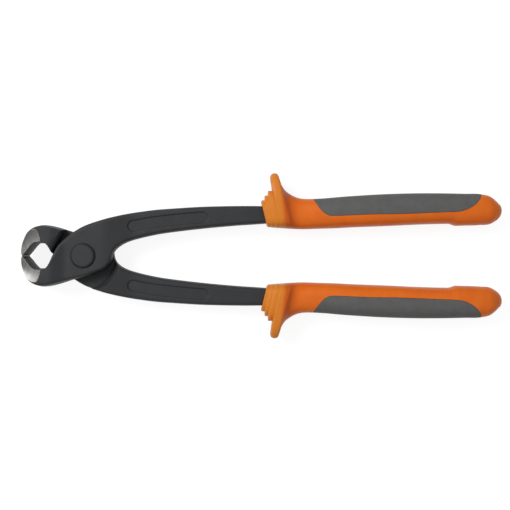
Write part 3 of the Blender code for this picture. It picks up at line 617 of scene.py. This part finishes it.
def lap_cutter():
    lap_face = MIDDLE + LAP_GAP / 2
    ramp_start = BOSS_RADIUS * BOSS_TOE + LAP_CLEARANCE
    loops = []
    for depth in lap_depths():
        into_fillet = max(0.0, 1 - depth / LAP_FILLET)
        fillet = LAP_FILLET * (1 - math.sqrt(1 - into_fillet**2))
        broken = min(max(0.0, EDGE_BREAK - lap_face + depth), 2 * EDGE_BREAK)
        loop = []
        for k in range(LAP_STEPS_ROUND):
            angle = 2 * math.pi * k / LAP_STEPS_ROUND
            off = abs((angle - RAMP_MIDDLE + math.pi) % (2 * math.pi) - math.pi)
            ramp = eased(1 - (off - RAMP_SPREAD) / RAMP_FADE)
            foot = read_off(LAP_FOOT, math.degrees(angle))[0] * (BOSS_RADIUS + LAP_CLEARANCE)
            shoulder = foot + depth / JAW_HALF * LAP_DRAFT + rounded_over(depth) - fillet + broken
            rise = half_thickness((ramp_start + LAP_RAMP) * math.cos(angle)) + LAP_GAP / 2
            run = 0.5 - math.sin(math.asin(1 - 2 * min(1.0, depth / rise)) / 3)
            radius = mix(shoulder, ramp_start + LAP_RAMP * run, ramp)
            loop.append((radius * math.cos(angle), radius * math.sin(angle), lap_face - depth))
        loops.append(loop)
    return skin_over("lap_cutter", loops)


# %% The rivet's hole and seats
SEAT_LIP, HOLE_STEPS_ROUND, SEAT_STEPS_ROUND = 0.06 * MM, 96, 144
LIP_SHARES = ((0, -1), (0.3, -0.3), (1, 0), (3, 0.4))  # out and up, of the lip's size


def rivet_cutters():
    """The drilled hole, and the counterbore with a soft lip."""
    face, high, low = MIDDLE + BOSS_HEIGHT, MIDDLE + 2 * JAW_HALF, -CUT_OVERRUN
    hole, seat, floor = RIVET_SHANK + RIVET_FIT, RIVET_HEAD + HEAD_FIT + SEAT_WEAR, face - RIVET_SEAT
    lip = [(seat + out * SEAT_LIP, face + up * SEAT_LIP) for out, up in LIP_SHARES]
    seat_profile = [(0, floor), (seat, floor), *lip, (lip[-1][0], high), (0, high)]
    return [
        turned_solid("hole_cutter", [(0, low), (hole, low), (hole, high), (0, high)], HOLE_STEPS_ROUND),
        turned_solid("seat_cutter", seat_profile, SEAT_STEPS_ROUND, SEAT_OFFSET),
    ]


# %% The panels of the arm
# A panel's wall: height above the arm's face and how far out, in mm, drawn for a panel 0.6 mm deep
PANEL_WALL = (
    (-0.60, -0.52), (-0.57, -0.36), (-0.48, -0.22), (-0.34, -0.10), (-0.16, 0.04), (-0.06, 0.15), (0.01, 0.28),
    (0.12, 0.50), (0.60, 1.00), (4.0, 1.5),
)
DRAWN_DEPTH = 0.60
PANEL_POINTS, PANEL_END_STEPS = 41, 20


def panel_line():
    """The middle of the arm between the centres of the panel's round ends."""
    first = len(JAW_STATIONS) + len(BOSS_STATIONS)
    rows = lever_rows()[first : first + len(ARM_STATIONS)]
    middle = [((row[0] + row[2]) / 2, (row[1] + row[3]) / 2) for row in rows]
    start, stop = PANEL_START + PANEL_HEIGHT / 2, PANEL_START + PANEL_LENGTH - PANEL_HEIGHT / 2
    return [Vector((x, read_off(middle, x)[0])) for x in np.linspace(start, stop, PANEL_POINTS)]


def panel_loop(line, radius, side, above):
    """The long round-ended outline round a line, this far above the arm's face on one side."""
    right, left = [], []
    for k, spot in enumerate(line):
        ahead = (line[min(k + 1, len(line) - 1)] - line[max(k - 1, 0)]).normalized()
        across = Vector((-ahead.y, ahead.x)) * radius
        right.append(spot - across)
        left.append(spot + across)
    loop = list(right)
    for centre, spot, after in ((line[-1], right[-1], left[::-1]), (line[0], left[0], [])):
        turns = [Matrix.Rotation(math.pi * k / PANEL_END_STEPS, 2) for k in range(1, PANEL_END_STEPS)]
        loop += [centre + turn @ (spot - centre) for turn in turns] + after
    return [(*spot, MIDDLE + side * (half_thickness(spot.x) + above)) for spot in loop]


def panel_cutter(side):
    """A panel on the front, 1, or the rear, -1: a floor, a small fillet, a leaning wall and a soft lip."""
    line, half, scale = panel_line(), PANEL_HEIGHT / 2, PANEL_DEPTH / DRAWN_DEPTH
    loops = [panel_loop(line, half + out * MM, side, height * scale) for height, out in PANEL_WALL]
    return skin_over("panel_cutter", loops)


# %% The ground faces of the jaw
WHEEL_COLUMNS, WHEEL_ROWS, WHEEL_LEAD = 145, 41, 2 * MM


def wheel_cutter(side):
    """What the wheel grinds off one side of the jaws: 1 for the front, -1 for the rear."""
    loops = []
    axis, reach = Vector((-WHEEL_AXIS, 0)), JAW_HALF_HEIGHT + CUT_OVERRUN
    high = MIDDLE + side * (JAW_HALF + CUT_OVERRUN)
    for y in np.linspace(-reach, reach, WHEEL_COLUMNS):
        bend = min(1.0, (abs(y) / JAW_HALF_HEIGHT) ** GROUND_POWER)
        rim = Vector((-GROUND_START - GROUND_BEND * bend, y))
        out = (rim - axis).normalized()
        loop = []
        for inside in [-WHEEL_LEAD, *np.linspace(0, GROUND_LENGTH, WHEEL_ROWS)]:
            depth = GROUND_SLOPE * inside + max(0.0, inside) ** 2 / (2 * GROUND_RADIUS)
            loop.append(Vector((*(rim - out * inside), MIDDLE + side * (JAW_HALF - depth))))
        loop += [Vector((*loop[-1].xy, high)), Vector((*loop[0].xy, high))]
        loops.append(loop)
    cutter = skin_over("wheel_cutter", loops)
    cutter.data.materials.append(ground_finish)
    return cutter


# %% Forge, mill, drill and grind one lever
lever_skin = skin_over("front_lever_forging", lever_loops)
lever_skin.data.materials.append(forged_finish)
cut_away(
    lever_skin,
    [lap_cutter(), *rivet_cutters(), panel_cutter(1), panel_cutter(-1), wheel_cutter(1), wheel_cutter(-1)],
)
cut_finishes = [lever_skin.data.materials[face.material_index] for face in lever_skin.data.polygons]
print("ground faces:", cut_finishes.count(ground_finish))
even_shading(lever_skin)
print("lever faces:", len(lever_skin.data.polygons))

# %% [markdown]
# Half a turn round the long axis at the height of the pivot's middle takes the front lever's form to the
# rear lever's. The turn is done in the mesh, so that the object itself stays at the origin.

# %% The rear lever, and the bodies that the pieces ride on
HALF_TURN = Matrix.Translation((0, 0, 2 * MIDDLE)) @ Matrix.Rotation(math.pi, 4, "X")


def turned_half_round(piece, name):
    mesh = piece.data.copy()
    mesh.transform(HALF_TURN)
    return new_object(name, mesh)


def settle(piece, body, slot, *nodes):
    """The piece rides on a body and stands for CAD nodes. The slot is not used."""
    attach(piece, body)
    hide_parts(*nodes)


rear_lever_skin = turned_half_round(lever_skin, "rear_lever_forging")
settle(lever_skin, "front_half", "black_steel", "front_lever")
settle(rear_lever_skin, "rear_half", "black_steel", "rear_lever")

# %% [markdown]
# ## The rivet
# The rivet is a turned pin with a flat chamfered head at each end. A lathe's rule is simple: a radius and a
# height for each point of the profile, carried round. Geometry Nodes follow that rule from a plain grid:
# one direction of the grid counts the points of the profile, and the other one is the angle.

# %% A tree that turns a rivet
def new_tree(name, inputs):
    """A node tree with a mesh output and named inputs, and the nodes at its two ends."""
    tree = bpy.data.node_groups.new(name, "GeometryNodeTree")
    for label, kind in inputs:
        tree.interface.new_socket(name=label, in_out="INPUT", socket_type=kind)
    tree.interface.new_socket(name="Geometry", in_out="OUTPUT", socket_type="NodeSocketGeometry")
    return tree, tree.nodes.new("NodeGroupInput").outputs, tree.nodes.new("NodeGroupOutput")


def finish_tree(tree, geometry, finish, output):
    """Every tree ends in Realize Instances and Set Material."""
    real = add_node(tree, "GeometryNodeRealizeInstances", Geometry=geometry)
    painted = add_node(tree, "GeometryNodeSetMaterial", Geometry=real.outputs[0], Material=finish)
    tree.links.new(painted.outputs[0], output.inputs[0])


def pick(tree, index, choices):
    """The choice that the index counts to."""
    made = tree.nodes.new("GeometryNodeIndexSwitch")
    made.data_type = "FLOAT"
    while len(made.index_switch_items) < len(choices):
        made.index_switch_items.new()
    feed(tree, made.inputs, [index, *choices])
    return made.outputs[0]


def rivet_tree():
    lengths = ("Head Radius", "Shank Radius", "Face Height", "Seat Height", "Chamfer", "Middle")
    tree, size, output = new_tree(
        "turned_rivet",
        [(label, "NodeSocketFloat") for label in lengths]
        + [("Steps Round", "NodeSocketInt"), ("Finish", "NodeSocketMaterial")],
    )
    flat_edge = math_node(tree, "SUBTRACT", size["Head Radius"], size["Chamfer"])
    rim = math_node(tree, "SUBTRACT", size["Face Height"], size["Chamfer"])
    half_profile = [
        (0.0, size["Face Height"]), (flat_edge, size["Face Height"]), (size["Head Radius"], rim),
        (size["Head Radius"], size["Seat Height"]), (size["Shank Radius"], size["Seat Height"]),
    ]
    radii = [radius for radius, _ in half_profile]
    heights = [height for _, height in half_profile]
    below = [math_node(tree, "MULTIPLY", height, -1.0) for height in reversed(heights)]
    columns = math_node(tree, "ADD", size["Steps Round"], 1)
    grid = add_node(tree, "GeometryNodeMeshGrid", Size_X=1.0, Size_Y=1.0, Vertices_X=2 * len(radii))
    tree.links.new(columns, grid.inputs["Vertices Y"])
    grid_spot = tree.nodes.new("GeometryNodeInputPosition").outputs[0]
    spot = add_node(tree, "ShaderNodeSeparateXYZ", Vector=grid_spot)
    count = math_node(tree, "MULTIPLY", math_node(tree, "ADD", spot.outputs["X"], 0.5), 2 * len(radii) - 1.0)
    index = math_node(tree, "ROUND", count)
    angle = math_node(tree, "MULTIPLY", math_node(tree, "ADD", spot.outputs["Y"], 0.5), 2 * math.pi)
    radius = pick(tree, index, radii + radii[::-1])
    height = math_node(tree, "ADD", pick(tree, index, heights + below), size["Middle"])
    place = add_node(
        tree, "ShaderNodeCombineXYZ", X=math_node(tree, "MULTIPLY", radius, math_node(tree, "COSINE", angle)),
        Y=math_node(tree, "MULTIPLY", radius, math_node(tree, "SINE", angle)), Z=height,
    )
    turned = add_node(tree, "GeometryNodeSetPosition", Geometry=grid.outputs[0], Position=place.outputs[0])
    closed = add_node(tree, "GeometryNodeMergeByDistance", Geometry=turned.outputs[0], Distance=0.001 * MM)
    finish_tree(tree, closed.outputs[0], size["Finish"], output)
    return tree


def grow_from_tree(name, tree, values):
    """Runs the tree once on an empty mesh, with these values, and keeps the result as a plain mesh."""
    piece = new_object(name, bpy.data.meshes.new(name))
    step = piece.modifiers.new("grow", "NODES")
    step.node_group = tree
    for socket in tree.interface.items_tree:
        if socket.in_out == "INPUT":
            step[socket.identifier] = values[socket.name]
    keep_as_mesh(piece)
    form = bmesh.new()
    form.from_mesh(piece.data)
    bmesh.ops.recalc_face_normals(form, faces=form.faces)
    form.to_mesh(piece.data)
    form.free()
    print(name, "faces:", len(piece.data.polygons))
    return piece


# %% Turn the rivet
RIVET_SOFTNESS, RIVET_STEPS_ROUND = 0.15 * MM, 128
rivet = grow_from_tree(
    "turned_pivot_rivet",
    rivet_tree(),
    {
        "Head Radius": RIVET_HEAD, "Shank Radius": RIVET_SHANK, "Face Height": BOSS_HEIGHT + RIVET_PROUD,
        "Seat Height": BOSS_HEIGHT - RIVET_SEAT + RIVET_FIT, "Chamfer": RIVET_CHAMFER, "Middle": MIDDLE,
        "Steps Round": RIVET_STEPS_ROUND, "Finish": rivet_finish,
    },
)
soft_edges = rivet.modifiers.new("soft_edges", "BEVEL")
soft_edges.width, soft_edges.segments, soft_edges.angle_limit = RIVET_SOFTNESS, 3, math.radians(30)
keep_as_mesh(rivet)
even_shading(rivet)
settle(rivet, "rear_half", "rivet_steel", "pivot_rivet")

# %% [markdown]
# ## The hard grips
# A grip is moulded over the tang: a collar of three steps, a finger guard, and a handle that swells in the
# palm and ends in a heel. Each section is a squared oval, longer on the guard's side. Subdivision could
# smooth a rough cage, but sections laid close together keep the steps crisp and the palm smooth.

# %% Sections of a grip
COLLAR_START, STEP_PITCH, STEP_SOFTNESS = 1.70 * MM, 2.30 * MM, 1.00 * MM
COLLAR_SPACING, COLLAR_SQUARENESS, LAND_TAPER, COLLAR_STOP = 0.06 * MM, 3.2, 0.10, 0.05 * MM
STEP_REACH = {"low": (6.32, 0.25), "high": (7.60, 2.42), "half": (7.60, 0.76)}  # first step, and growth, in mm
OVAL_POINTS = 112
# Place along the grip, the oval's low, high and half reach and its squareness, and the section's lean
FORM_ROWS = [
    (place, low * GRIP_HALF_WIDTH, mix(high * GRIP_HALF_WIDTH, GUARD_REACH, guard), depth * GRIP_HALF_DEPTH,
     square, COLLAR_LEAN * lean)
    for place, low, high, guard, depth, lean, square in GRIP_STATIONS
]


def oval_spot(oval, angle):
    """A point of a squared oval. Angle 0 is furthest from the other handle."""
    low, high, half, square = oval
    across, up = math.cos(angle), math.sin(angle)
    reach = high if across > 0 else low
    return (
        reach * math.copysign(abs(across) ** (2 / square), across),
        half * math.copysign(abs(up) ** (2 / square), up),
    )


def grip_section(place, oval, lean):
    x, axis = ARM_LENGTH + place * GRIP_LENGTH, handle_axis(place)
    loop = []
    for k in range(OVAL_POINTS):
        across, up = oval_spot(oval, 2 * math.pi * (k + 0.5) / OVAL_POINTS)
        loop.append((x - lean * across, axis + across, MIDDLE + up))
    return loop


def collar_sections():
    """Three lands that each stand out further, with soft edges between them."""
    loops = []
    for offset in np.arange(COLLAR_START, FORM_ROWS[0][0] * GRIP_LENGTH - COLLAR_STOP, COLLAR_SPACING):
        travelled = (offset - COLLAR_START) / STEP_PITCH
        level = sum(eased((travelled - k) * STEP_PITCH / STEP_SOFTNESS + 0.5) for k in (1, 2))
        front = min(1.0, (offset - COLLAR_START) / STEP_SOFTNESS)
        inset = STEP_SOFTNESS * (1 - math.sqrt(1 - (1 - front) ** 2))
        reaches = [
            (first + growth * level + LAND_TAPER * (travelled - level)) * MM - inset
            for first, growth in STEP_REACH.values()
        ]
        loops.append(grip_section(offset / GRIP_LENGTH, (*reaches, COLLAR_SQUARENESS), COLLAR_LEAN))
    return loops


# Stretches of the handle and their spacing: close at the guard, at the step under the pad and at the tip
HANDLE_STRETCHES = (
    (0.0673, 0.1250, 0.0008), (0.1250, 0.1700, 0.0022), (0.1700, 0.7600, 0.0060), (0.7600, 0.8300, 0.0016),
    (0.8300, 0.9500, 0.0050), (0.9500, 0.9900, 0.0020), (0.9900, 1.0, 0.0005),
)
TIP_SHARE, TABLE_CLEARANCE = 0.98, 0.02 * MM


def handle_sections():
    places = np.concatenate([
        np.arange(start, stop - step / 2, step) for start, stop, step in HANDLE_STRETCHES
    ])
    loops = []
    for place in [*places, 1.0]:
        low, high, half, square, lean = read_off(FORM_ROWS, place)
        high, half = min(high, TIP_SHARE * GUARD_REACH), min(half, MIDDLE - TABLE_CLEARANCE)
        loops.append(grip_section(place, (low, high, half, square), lean))
    return loops


grip_loops = collar_sections() + handle_sections()
print("grip sections:", len(grip_loops))

# %% [markdown]
# The pad and the recess that holds it share one outline on the grip's surface. A boolean with a slab could
# give the pad, but then its edge would be a knife edge. Instead each of its sections runs from edge to edge
# over the outer side, and its points near the outline sink in a quarter round, by their true distance from
# the edge.

# %% The pad's outline
RECESS_SPACING, RECESS_POINTS, EDGE_ROWS_BETWEEN = 0.4 * MM, 40, 9


def edge_line(grow):
    """The pad's lower edge as x and y, moved out by grow."""
    line = np.array([
        (ARM_LENGTH + place * GRIP_LENGTH, handle_axis(place) + rise * GRIP_HALF_WIDTH)
        for place, rise in more_rows(PAD_EDGE, EDGE_ROWS_BETWEEN)
    ])
    ahead = np.gradient(line, axis=0)
    ahead /= np.linalg.norm(ahead, axis=1)[:, None]
    return line + np.stack([ahead[:, 1], -ahead[:, 0]], axis=1) * grow


def spaced(line, spacing):
    """The same line with its points evenly spaced."""
    run = np.concatenate([[0], np.cumsum(np.linalg.norm(np.diff(line, axis=0), axis=1))])
    spots = np.linspace(0, run[-1], int(run[-1] / spacing) + 1)
    return np.stack([np.interp(spots, run, line[:, k]) for k in (0, 1)], axis=1)


def form_at(x):
    """The handle's axis and the grip's oval at x."""
    place = (x - ARM_LENGTH) / GRIP_LENGTH
    return handle_axis(place), read_off(FORM_ROWS, place)[:4]


def angle_at(rise, oval):
    """The angle on the squared oval at which it is this high above the handle's axis."""
    low, high, _, square = oval
    share = rise / (high if rise > 0 else low)
    return math.acos(math.copysign(min(1.0, abs(share)) ** (square / 2), share))


def inner_loop(edge, axis, oval, inset, points):
    """The core's surface from one side of the edge to the other, or the edge where the core is below it."""
    core = (*(reach - inset for reach in oval[:3]), oval[3])
    if edge - axis >= core[1]:
        return [(edge, 0.0)] * points
    limit = angle_at(edge - axis, core)
    spots = [oval_spot(core, mix(limit, -limit, k / (points - 1))) for k in range(points)]
    return [(axis + across, up) for across, up in spots]


# %% The recess that the pad sits in
def recess_cutter():
    loops = []
    top = float(edge_line(0.0)[:, 1].max()) + CUT_OVERRUN
    for x, edge in spaced(edge_line(PAD_GAP), RECESS_SPACING):
        axis, oval = form_at(x)
        core = inner_loop(edge, axis, oval, PAD_THICKNESS + PAD_GAP, RECESS_POINTS)
        out = oval[2] + CUT_OVERRUN
        around = [(edge, -out), (top, -out), (top, out), (edge, out), *core]
        loops.append([(x, y, MIDDLE + z) for y, z in around])
    return skin_over("recess_cutter", loops)


# %% The socket that the tang sits in
def socket_cutter():
    rows = lever_rows()[-len(TANG_STATIONS) - 2 :]
    end, last = ARM_LENGTH + SOCKET_END * GRIP_LENGTH, rows[-1]
    rows.append((end, last[1], end, last[3], *last[4:]))
    loops = [lever_section(row, SOCKET_FIT) for row in more_rows(rows, ROWS_BETWEEN)]
    return skin_over("socket_cutter", loops)


grip = skin_over("front_hard_grip", grip_loops)
grip.data.materials.append(hard_grip_finish)
cut_away(grip, [recess_cutter(), socket_cutter()])
print("hard grip faces:", len(grip.data.polygons))

# %% [markdown]
# Each land of the collar has a small raised bead round its leading edge, which gives the fingers something
# to find. Beads repeat by a rule, so Geometry Nodes make them: a ring for each land, drawn as a squared
# oval that grows from one land to the next, and swept with a small round section.

# %% A tree that lays beads round the collar
BEAD_SECTION_POINTS = 10


def bead_tree():
    lengths = ("First", "Pitch", "Lean", "Axis", "Middle", "Bead Radius", "Low", "Low Growth", "High",
               "High Growth", "Half", "Half Growth", "Squareness")
    tree, size, output = new_tree(
        "collar_beads",
        [(label, "NodeSocketFloat") for label in lengths]
        + [("Beads", "NodeSocketInt"), ("Steps Round", "NodeSocketInt"), ("Finish", "NodeSocketMaterial")],
    )
    points = add_node(tree, "GeometryNodePoints", Count=size["Beads"])
    ring = add_node(tree, "GeometryNodeCurvePrimitiveCircle", Resolution=size["Steps Round"])
    numbered = add_node(
        tree, "GeometryNodeStoreNamedAttribute", {"domain": "POINT", "data_type": "INT"},
        Geometry=points.outputs[0], Name="bead",
    )
    tree.links.new(tree.nodes.new("GeometryNodeInputIndex").outputs[0], numbered.inputs["Value"])
    rings = add_node(
        tree, "GeometryNodeInstanceOnPoints", Points=numbered.outputs[0], Instance=ring.outputs[0]
    ).outputs[0]
    real = add_node(tree, "GeometryNodeRealizeInstances", Geometry=rings)
    bead = add_node(tree, "GeometryNodeInputNamedAttribute", {"data_type": "INT"}, Name="bead").outputs[0]
    around = tree.nodes.new("GeometryNodeSplineParameter").outputs["Factor"]
    angle = math_node(tree, "MULTIPLY", around, 2 * math.pi)
    power = math_node(tree, "DIVIDE", 2.0, size["Squareness"])

    def grown(start, growth):
        return math_node(tree, "ADD", start, math_node(tree, "MULTIPLY", bead, growth))

    def squared(operation):
        value = math_node(tree, operation, angle)
        sized = math_node(tree, "POWER", math_node(tree, "ABSOLUTE", value), power)
        return value, math_node(tree, "MULTIPLY", sized, math_node(tree, "SIGN", value))

    cosine, across_share = squared("COSINE")
    _, up_share = squared("SINE")
    outwards = math_node(tree, "GREATER_THAN", cosine, 0.0)
    low, high = grown(size["Low"], size["Low Growth"]), grown(size["High"], size["High Growth"])
    further = math_node(tree, "MULTIPLY", outwards, math_node(tree, "SUBTRACT", high, low))
    reach = math_node(tree, "ADD", low, further)
    across = math_node(tree, "MULTIPLY", across_share, reach)
    up = math_node(tree, "MULTIPLY", up_share, grown(size["Half"], size["Half Growth"]))
    leaning = math_node(tree, "MULTIPLY", across, size["Lean"])
    along = math_node(tree, "SUBTRACT", grown(size["First"], size["Pitch"]), leaning)
    place = add_node(
        tree, "ShaderNodeCombineXYZ", X=along, Y=math_node(tree, "ADD", across, size["Axis"]),
        Z=math_node(tree, "ADD", up, size["Middle"]),
    )
    shaped = add_node(tree, "GeometryNodeSetPosition", Geometry=real.outputs[0], Position=place.outputs[0])
    section = add_node(
        tree, "GeometryNodeCurvePrimitiveCircle", Resolution=BEAD_SECTION_POINTS, Radius=size["Bead Radius"]
    ).outputs[0]
    swept = add_node(tree, "GeometryNodeCurveToMesh", Curve=shaped.outputs[0], Profile_Curve=section)
    finish_tree(tree, swept.outputs[0], size["Finish"], output)
    return tree


# %% Lay the beads, and join them to the grip that they are moulded with
BEAD_COUNT, BEAD_RADIUS, BEAD_SINK, BEAD_PLACE = 3, 0.26 * MM, 0.19 * MM, 0.70 * MM
COLLAR_PLACE = 0.03  # of the collar's middle along the grip
bead_sizes = {
    "First": ARM_LENGTH + COLLAR_START + BEAD_PLACE, "Pitch": STEP_PITCH, "Lean": COLLAR_LEAN,
    "Axis": handle_axis(COLLAR_PLACE), "Middle": MIDDLE, "Bead Radius": BEAD_RADIUS,
    "Squareness": COLLAR_SQUARENESS, "Beads": BEAD_COUNT, "Steps Round": OVAL_POINTS,
    "Finish": hard_grip_finish,
}
for side, (first, growth) in STEP_REACH.items():
    bead_sizes[side.title()] = first * MM - BEAD_SINK
    bead_sizes[side.title() + " Growth"] = growth * MM
beads = grow_from_tree("collar_beads", bead_tree(), bead_sizes)


def join_pieces(target, other):
    """Adds the other piece's mesh to the target's."""
    form = bmesh.new()
    form.from_mesh(target.data)
    form.from_mesh(other.data)
    form.to_mesh(target.data)
    form.free()
    bpy.data.objects.remove(other)
    for face in target.data.polygons:
        face.material_index = 0


even_shading(grip)
beads.data.shade_smooth()
join_pieces(grip, beads)
rear_grip = turned_half_round(grip, "rear_hard_grip")
settle(grip, "front_half", "orange_plastic", "front_grip_shell")
settle(rear_grip, "rear_half", "orange_plastic", "rear_grip_shell")

# %% [markdown]
# ## The soft pads
# The pad is a second shot of rubber over the palm side. Its sections are laid along its own outline, so
# that its tips stay round, and the columns crowd towards the edge, where the quarter round needs them.

# %% Mould one pad
PAD_ROUND, PAD_SPACING, PAD_ROWS_SKIPPED = 0.25 * MM, 0.05 * MM, 8
PAD_COLUMNS, PAD_CORE_POINTS, FINE_STEPS = 24, 32, 160
EDGE_COLUMNS = np.array([0.0, 0.03, 0.08, 0.15, 0.24, 0.34, 0.46, 0.70]) * MM
WALL_SHARES = (0.33, 0.67)
TIP_LIMIT = 0.9995  # share of a grip's reach over which the pad has no width left


def outer_spots(limit, oval):
    """Points from the edge over the outer side to the other edge, crowded at both ends."""
    angles = np.linspace(0, limit, FINE_STEPS)
    spots = np.array([oval_spot(oval, angle) for angle in angles])
    run = np.concatenate([[0], np.cumsum(np.linalg.norm(np.diff(spots, axis=0), axis=1))])
    close = EDGE_COLUMNS * min(1.0, run[-1] / (2 * EDGE_COLUMNS[-1]))
    from_edge = np.concatenate([close, np.linspace(close[-1], run[-1], PAD_COLUMNS + 1)[1:]])
    side = np.stack([np.interp(run[-1] - from_edge, run, spots[:, k]) for k in (0, 1)], axis=1)
    return np.vstack([side * (1, -1), side[-2::-1]])


def distance_to_line(spots, line):
    """Each spot's distance to the nearest stretch of the line."""
    best = np.full(len(spots), np.inf)
    for start, step in zip(line[:-1], np.diff(line, axis=0)):
        share = np.clip((spots - start) @ step / (step @ step), 0, 1)
        best = np.minimum(best, np.linalg.norm(spots - start - share[:, None] * step, axis=1))
    return best


def pad_mesh():
    """The pad: its outer side sunk along the border, two walls and the inner side that lies on the grip."""
    sections = []
    for x, edge in spaced(edge_line(0.0), PAD_SPACING):
        axis, oval = form_at(x)
        if edge - axis < oval[1] * TIP_LIMIT:
            sections.append((x, edge, axis, oval))
    sections = sections[:-1:PAD_ROWS_SKIPPED] + sections[-1:]
    outer = []
    for x, edge, axis, oval in sections:
        spots = outer_spots(angle_at(edge - axis, oval), oval)
        outer.append([(x, axis + across, MIDDLE + up) for across, up in spots])
    outer = np.array(outer)
    border = np.vstack([outer[:, 0], outer[-1, 1:-1], outer[::-1, -1], outer[0, -2:0:-1], outer[:1, 0]])
    count = outer.shape[1]
    depth = distance_to_line(outer.reshape(-1, 3), border).reshape(len(sections), count)
    sunk = PAD_ROUND - np.sqrt(np.maximum(0, PAD_ROUND**2 - np.maximum(0, PAD_ROUND - depth) ** 2))
    loops = []
    for k, (x, edge, axis, oval) in enumerate(sections):
        normal = outer[k][:, 1:] - (axis, MIDDLE)
        normal = normal / np.array(oval[1:3]) ** 2
        normal /= np.linalg.norm(normal, axis=1)[:, None]
        rim = outer[k].copy()
        rim[:, 1:] -= normal * sunk[k][:, None]
        core = inner_loop(edge, axis, oval, PAD_THICKNESS, PAD_CORE_POINTS)
        core = np.array([(x, y, MIDDLE + z) for y, z in core])
        wall_down = [mix(rim[-1], core[0], share) for share in WALL_SHARES]
        wall_up = [mix(core[-1], rim[0], share) for share in WALL_SHARES]
        loops.append([*rim, *wall_down, *core, *wall_up])
    return skin_over("front_soft_pad", loops)


pad = pad_mesh()
pad.data.materials.append(soft_pad_finish)
even_shading(pad, 40)
print("pad faces:", len(pad.data.polygons))
rear_pad = turned_half_round(pad, "rear_soft_pad")
settle(pad, "front_half", "grey_rubber", "front_grip_pad")
settle(rear_pad, "rear_half", "grey_rubber", "rear_grip_pad")

# %% [markdown]
# ## Table and light
# The tool lies on a white table. One large soft box at the upper left gives the light its direction, and a
# pale sky fills the rest, so that black steel keeps its form. The table itself is lit like the tool, and
# some extra white, for the camera and for reflections alone, takes it to the paper white of the photograph,
# with the shadow kept.

# %% The table
TABLE_GREYS, TABLE_LUMPS, TABLE_ROUGHNESS, TABLE_SPECULAR = (0.20, 0.22), 40 * MM, 0.9, 0.1
TABLE_HALF_SIZE, TABLE_SQUARES, TABLE_DROP, PAPER_WHITE = 3.0, 8, 0.1 * MM, 0.88


def table_finish():
    made, tree, shader, place = new_finish("white_table", TABLE_ROUGHNESS, 0.0, TABLE_SPECULAR)
    tone = spread(tree, speckle(tree, place, TABLE_LUMPS), 0.0, 1.0)
    darker, paler = ((grey, grey, grey, 1.0) for grey in TABLE_GREYS)
    tree.links.new(blend_colours(tree, tone, darker, paler), shader.inputs["Base Color"])
    rays = tree.nodes.new("ShaderNodeLightPath").outputs
    mirrored = math_node(tree, "MAXIMUM", rays["Is Glossy Ray"], rays["Is Transmission Ray"])
    seen = math_node(tree, "MAXIMUM", rays["Is Camera Ray"], mirrored)
    shader.inputs["Emission Color"].default_value = (1.0, 1.0, 1.0, 1.0)
    tree.links.new(math_node(tree, "MULTIPLY", seen, PAPER_WHITE), shader.inputs["Emission Strength"])
    return made


table_form = bmesh.new()
bmesh.ops.create_grid(table_form, x_segments=TABLE_SQUARES, y_segments=TABLE_SQUARES, size=TABLE_HALF_SIZE)
table_mesh = bpy.data.meshes.new("table")
table_form.to_mesh(table_mesh)
table_form.free()
table_mesh.materials.append(table_finish())
table = new_object("table", table_mesh)
table.location.z = -TABLE_DROP

# %% The light
TOOL_CENTRE = Vector((93 * MM, 0, MIDDLE))
LIGHT_FROM = Vector((-0.575, 0.37, 0.73)).normalized()
LIGHT_DISTANCE, LIGHT_SIDE, LIGHT_WATTS = 0.9, 0.42, 5.4
# The sky's two strengths, and the heights from -1 to 1 between which it goes over
SKY_DIM, SKY_BRIGHT, SKY_DIM_BELOW, SKY_BRIGHT_ABOVE = 0.42, 0.54, 0.10, 0.85
soft_box_data = bpy.data.lights.new("soft_box", "AREA")
soft_box_data.shape, soft_box_data.size, soft_box_data.energy = "SQUARE", LIGHT_SIDE, LIGHT_WATTS
soft_box = new_object("soft_box", soft_box_data)
soft_box.location = TOOL_CENTRE + LIGHT_FROM * LIGHT_DISTANCE
soft_box.rotation_euler = LIGHT_FROM.to_track_quat("Z", "Y").to_euler()

sky = bpy.data.worlds.new("studio")
sky.use_nodes = True
bpy.context.scene.world = sky
sky_tree = sky.node_tree
background = sky_tree.nodes["Background"]
direction = sky_tree.nodes.new("ShaderNodeTexCoord").outputs["Generated"]
height = add_node(sky_tree, "ShaderNodeSeparateXYZ", Vector=direction).outputs["Z"]
strength = spread(sky_tree, height, SKY_DIM, SKY_BRIGHT, SKY_DIM_BELOW, SKY_BRIGHT_ABOVE)
sky_tree.links.new(strength, background.inputs["Strength"])
background.inputs["Color"].default_value = (1.0, 1.0, 1.0, 1.0)
bpy.context.scene.view_settings.view_transform = "Standard"
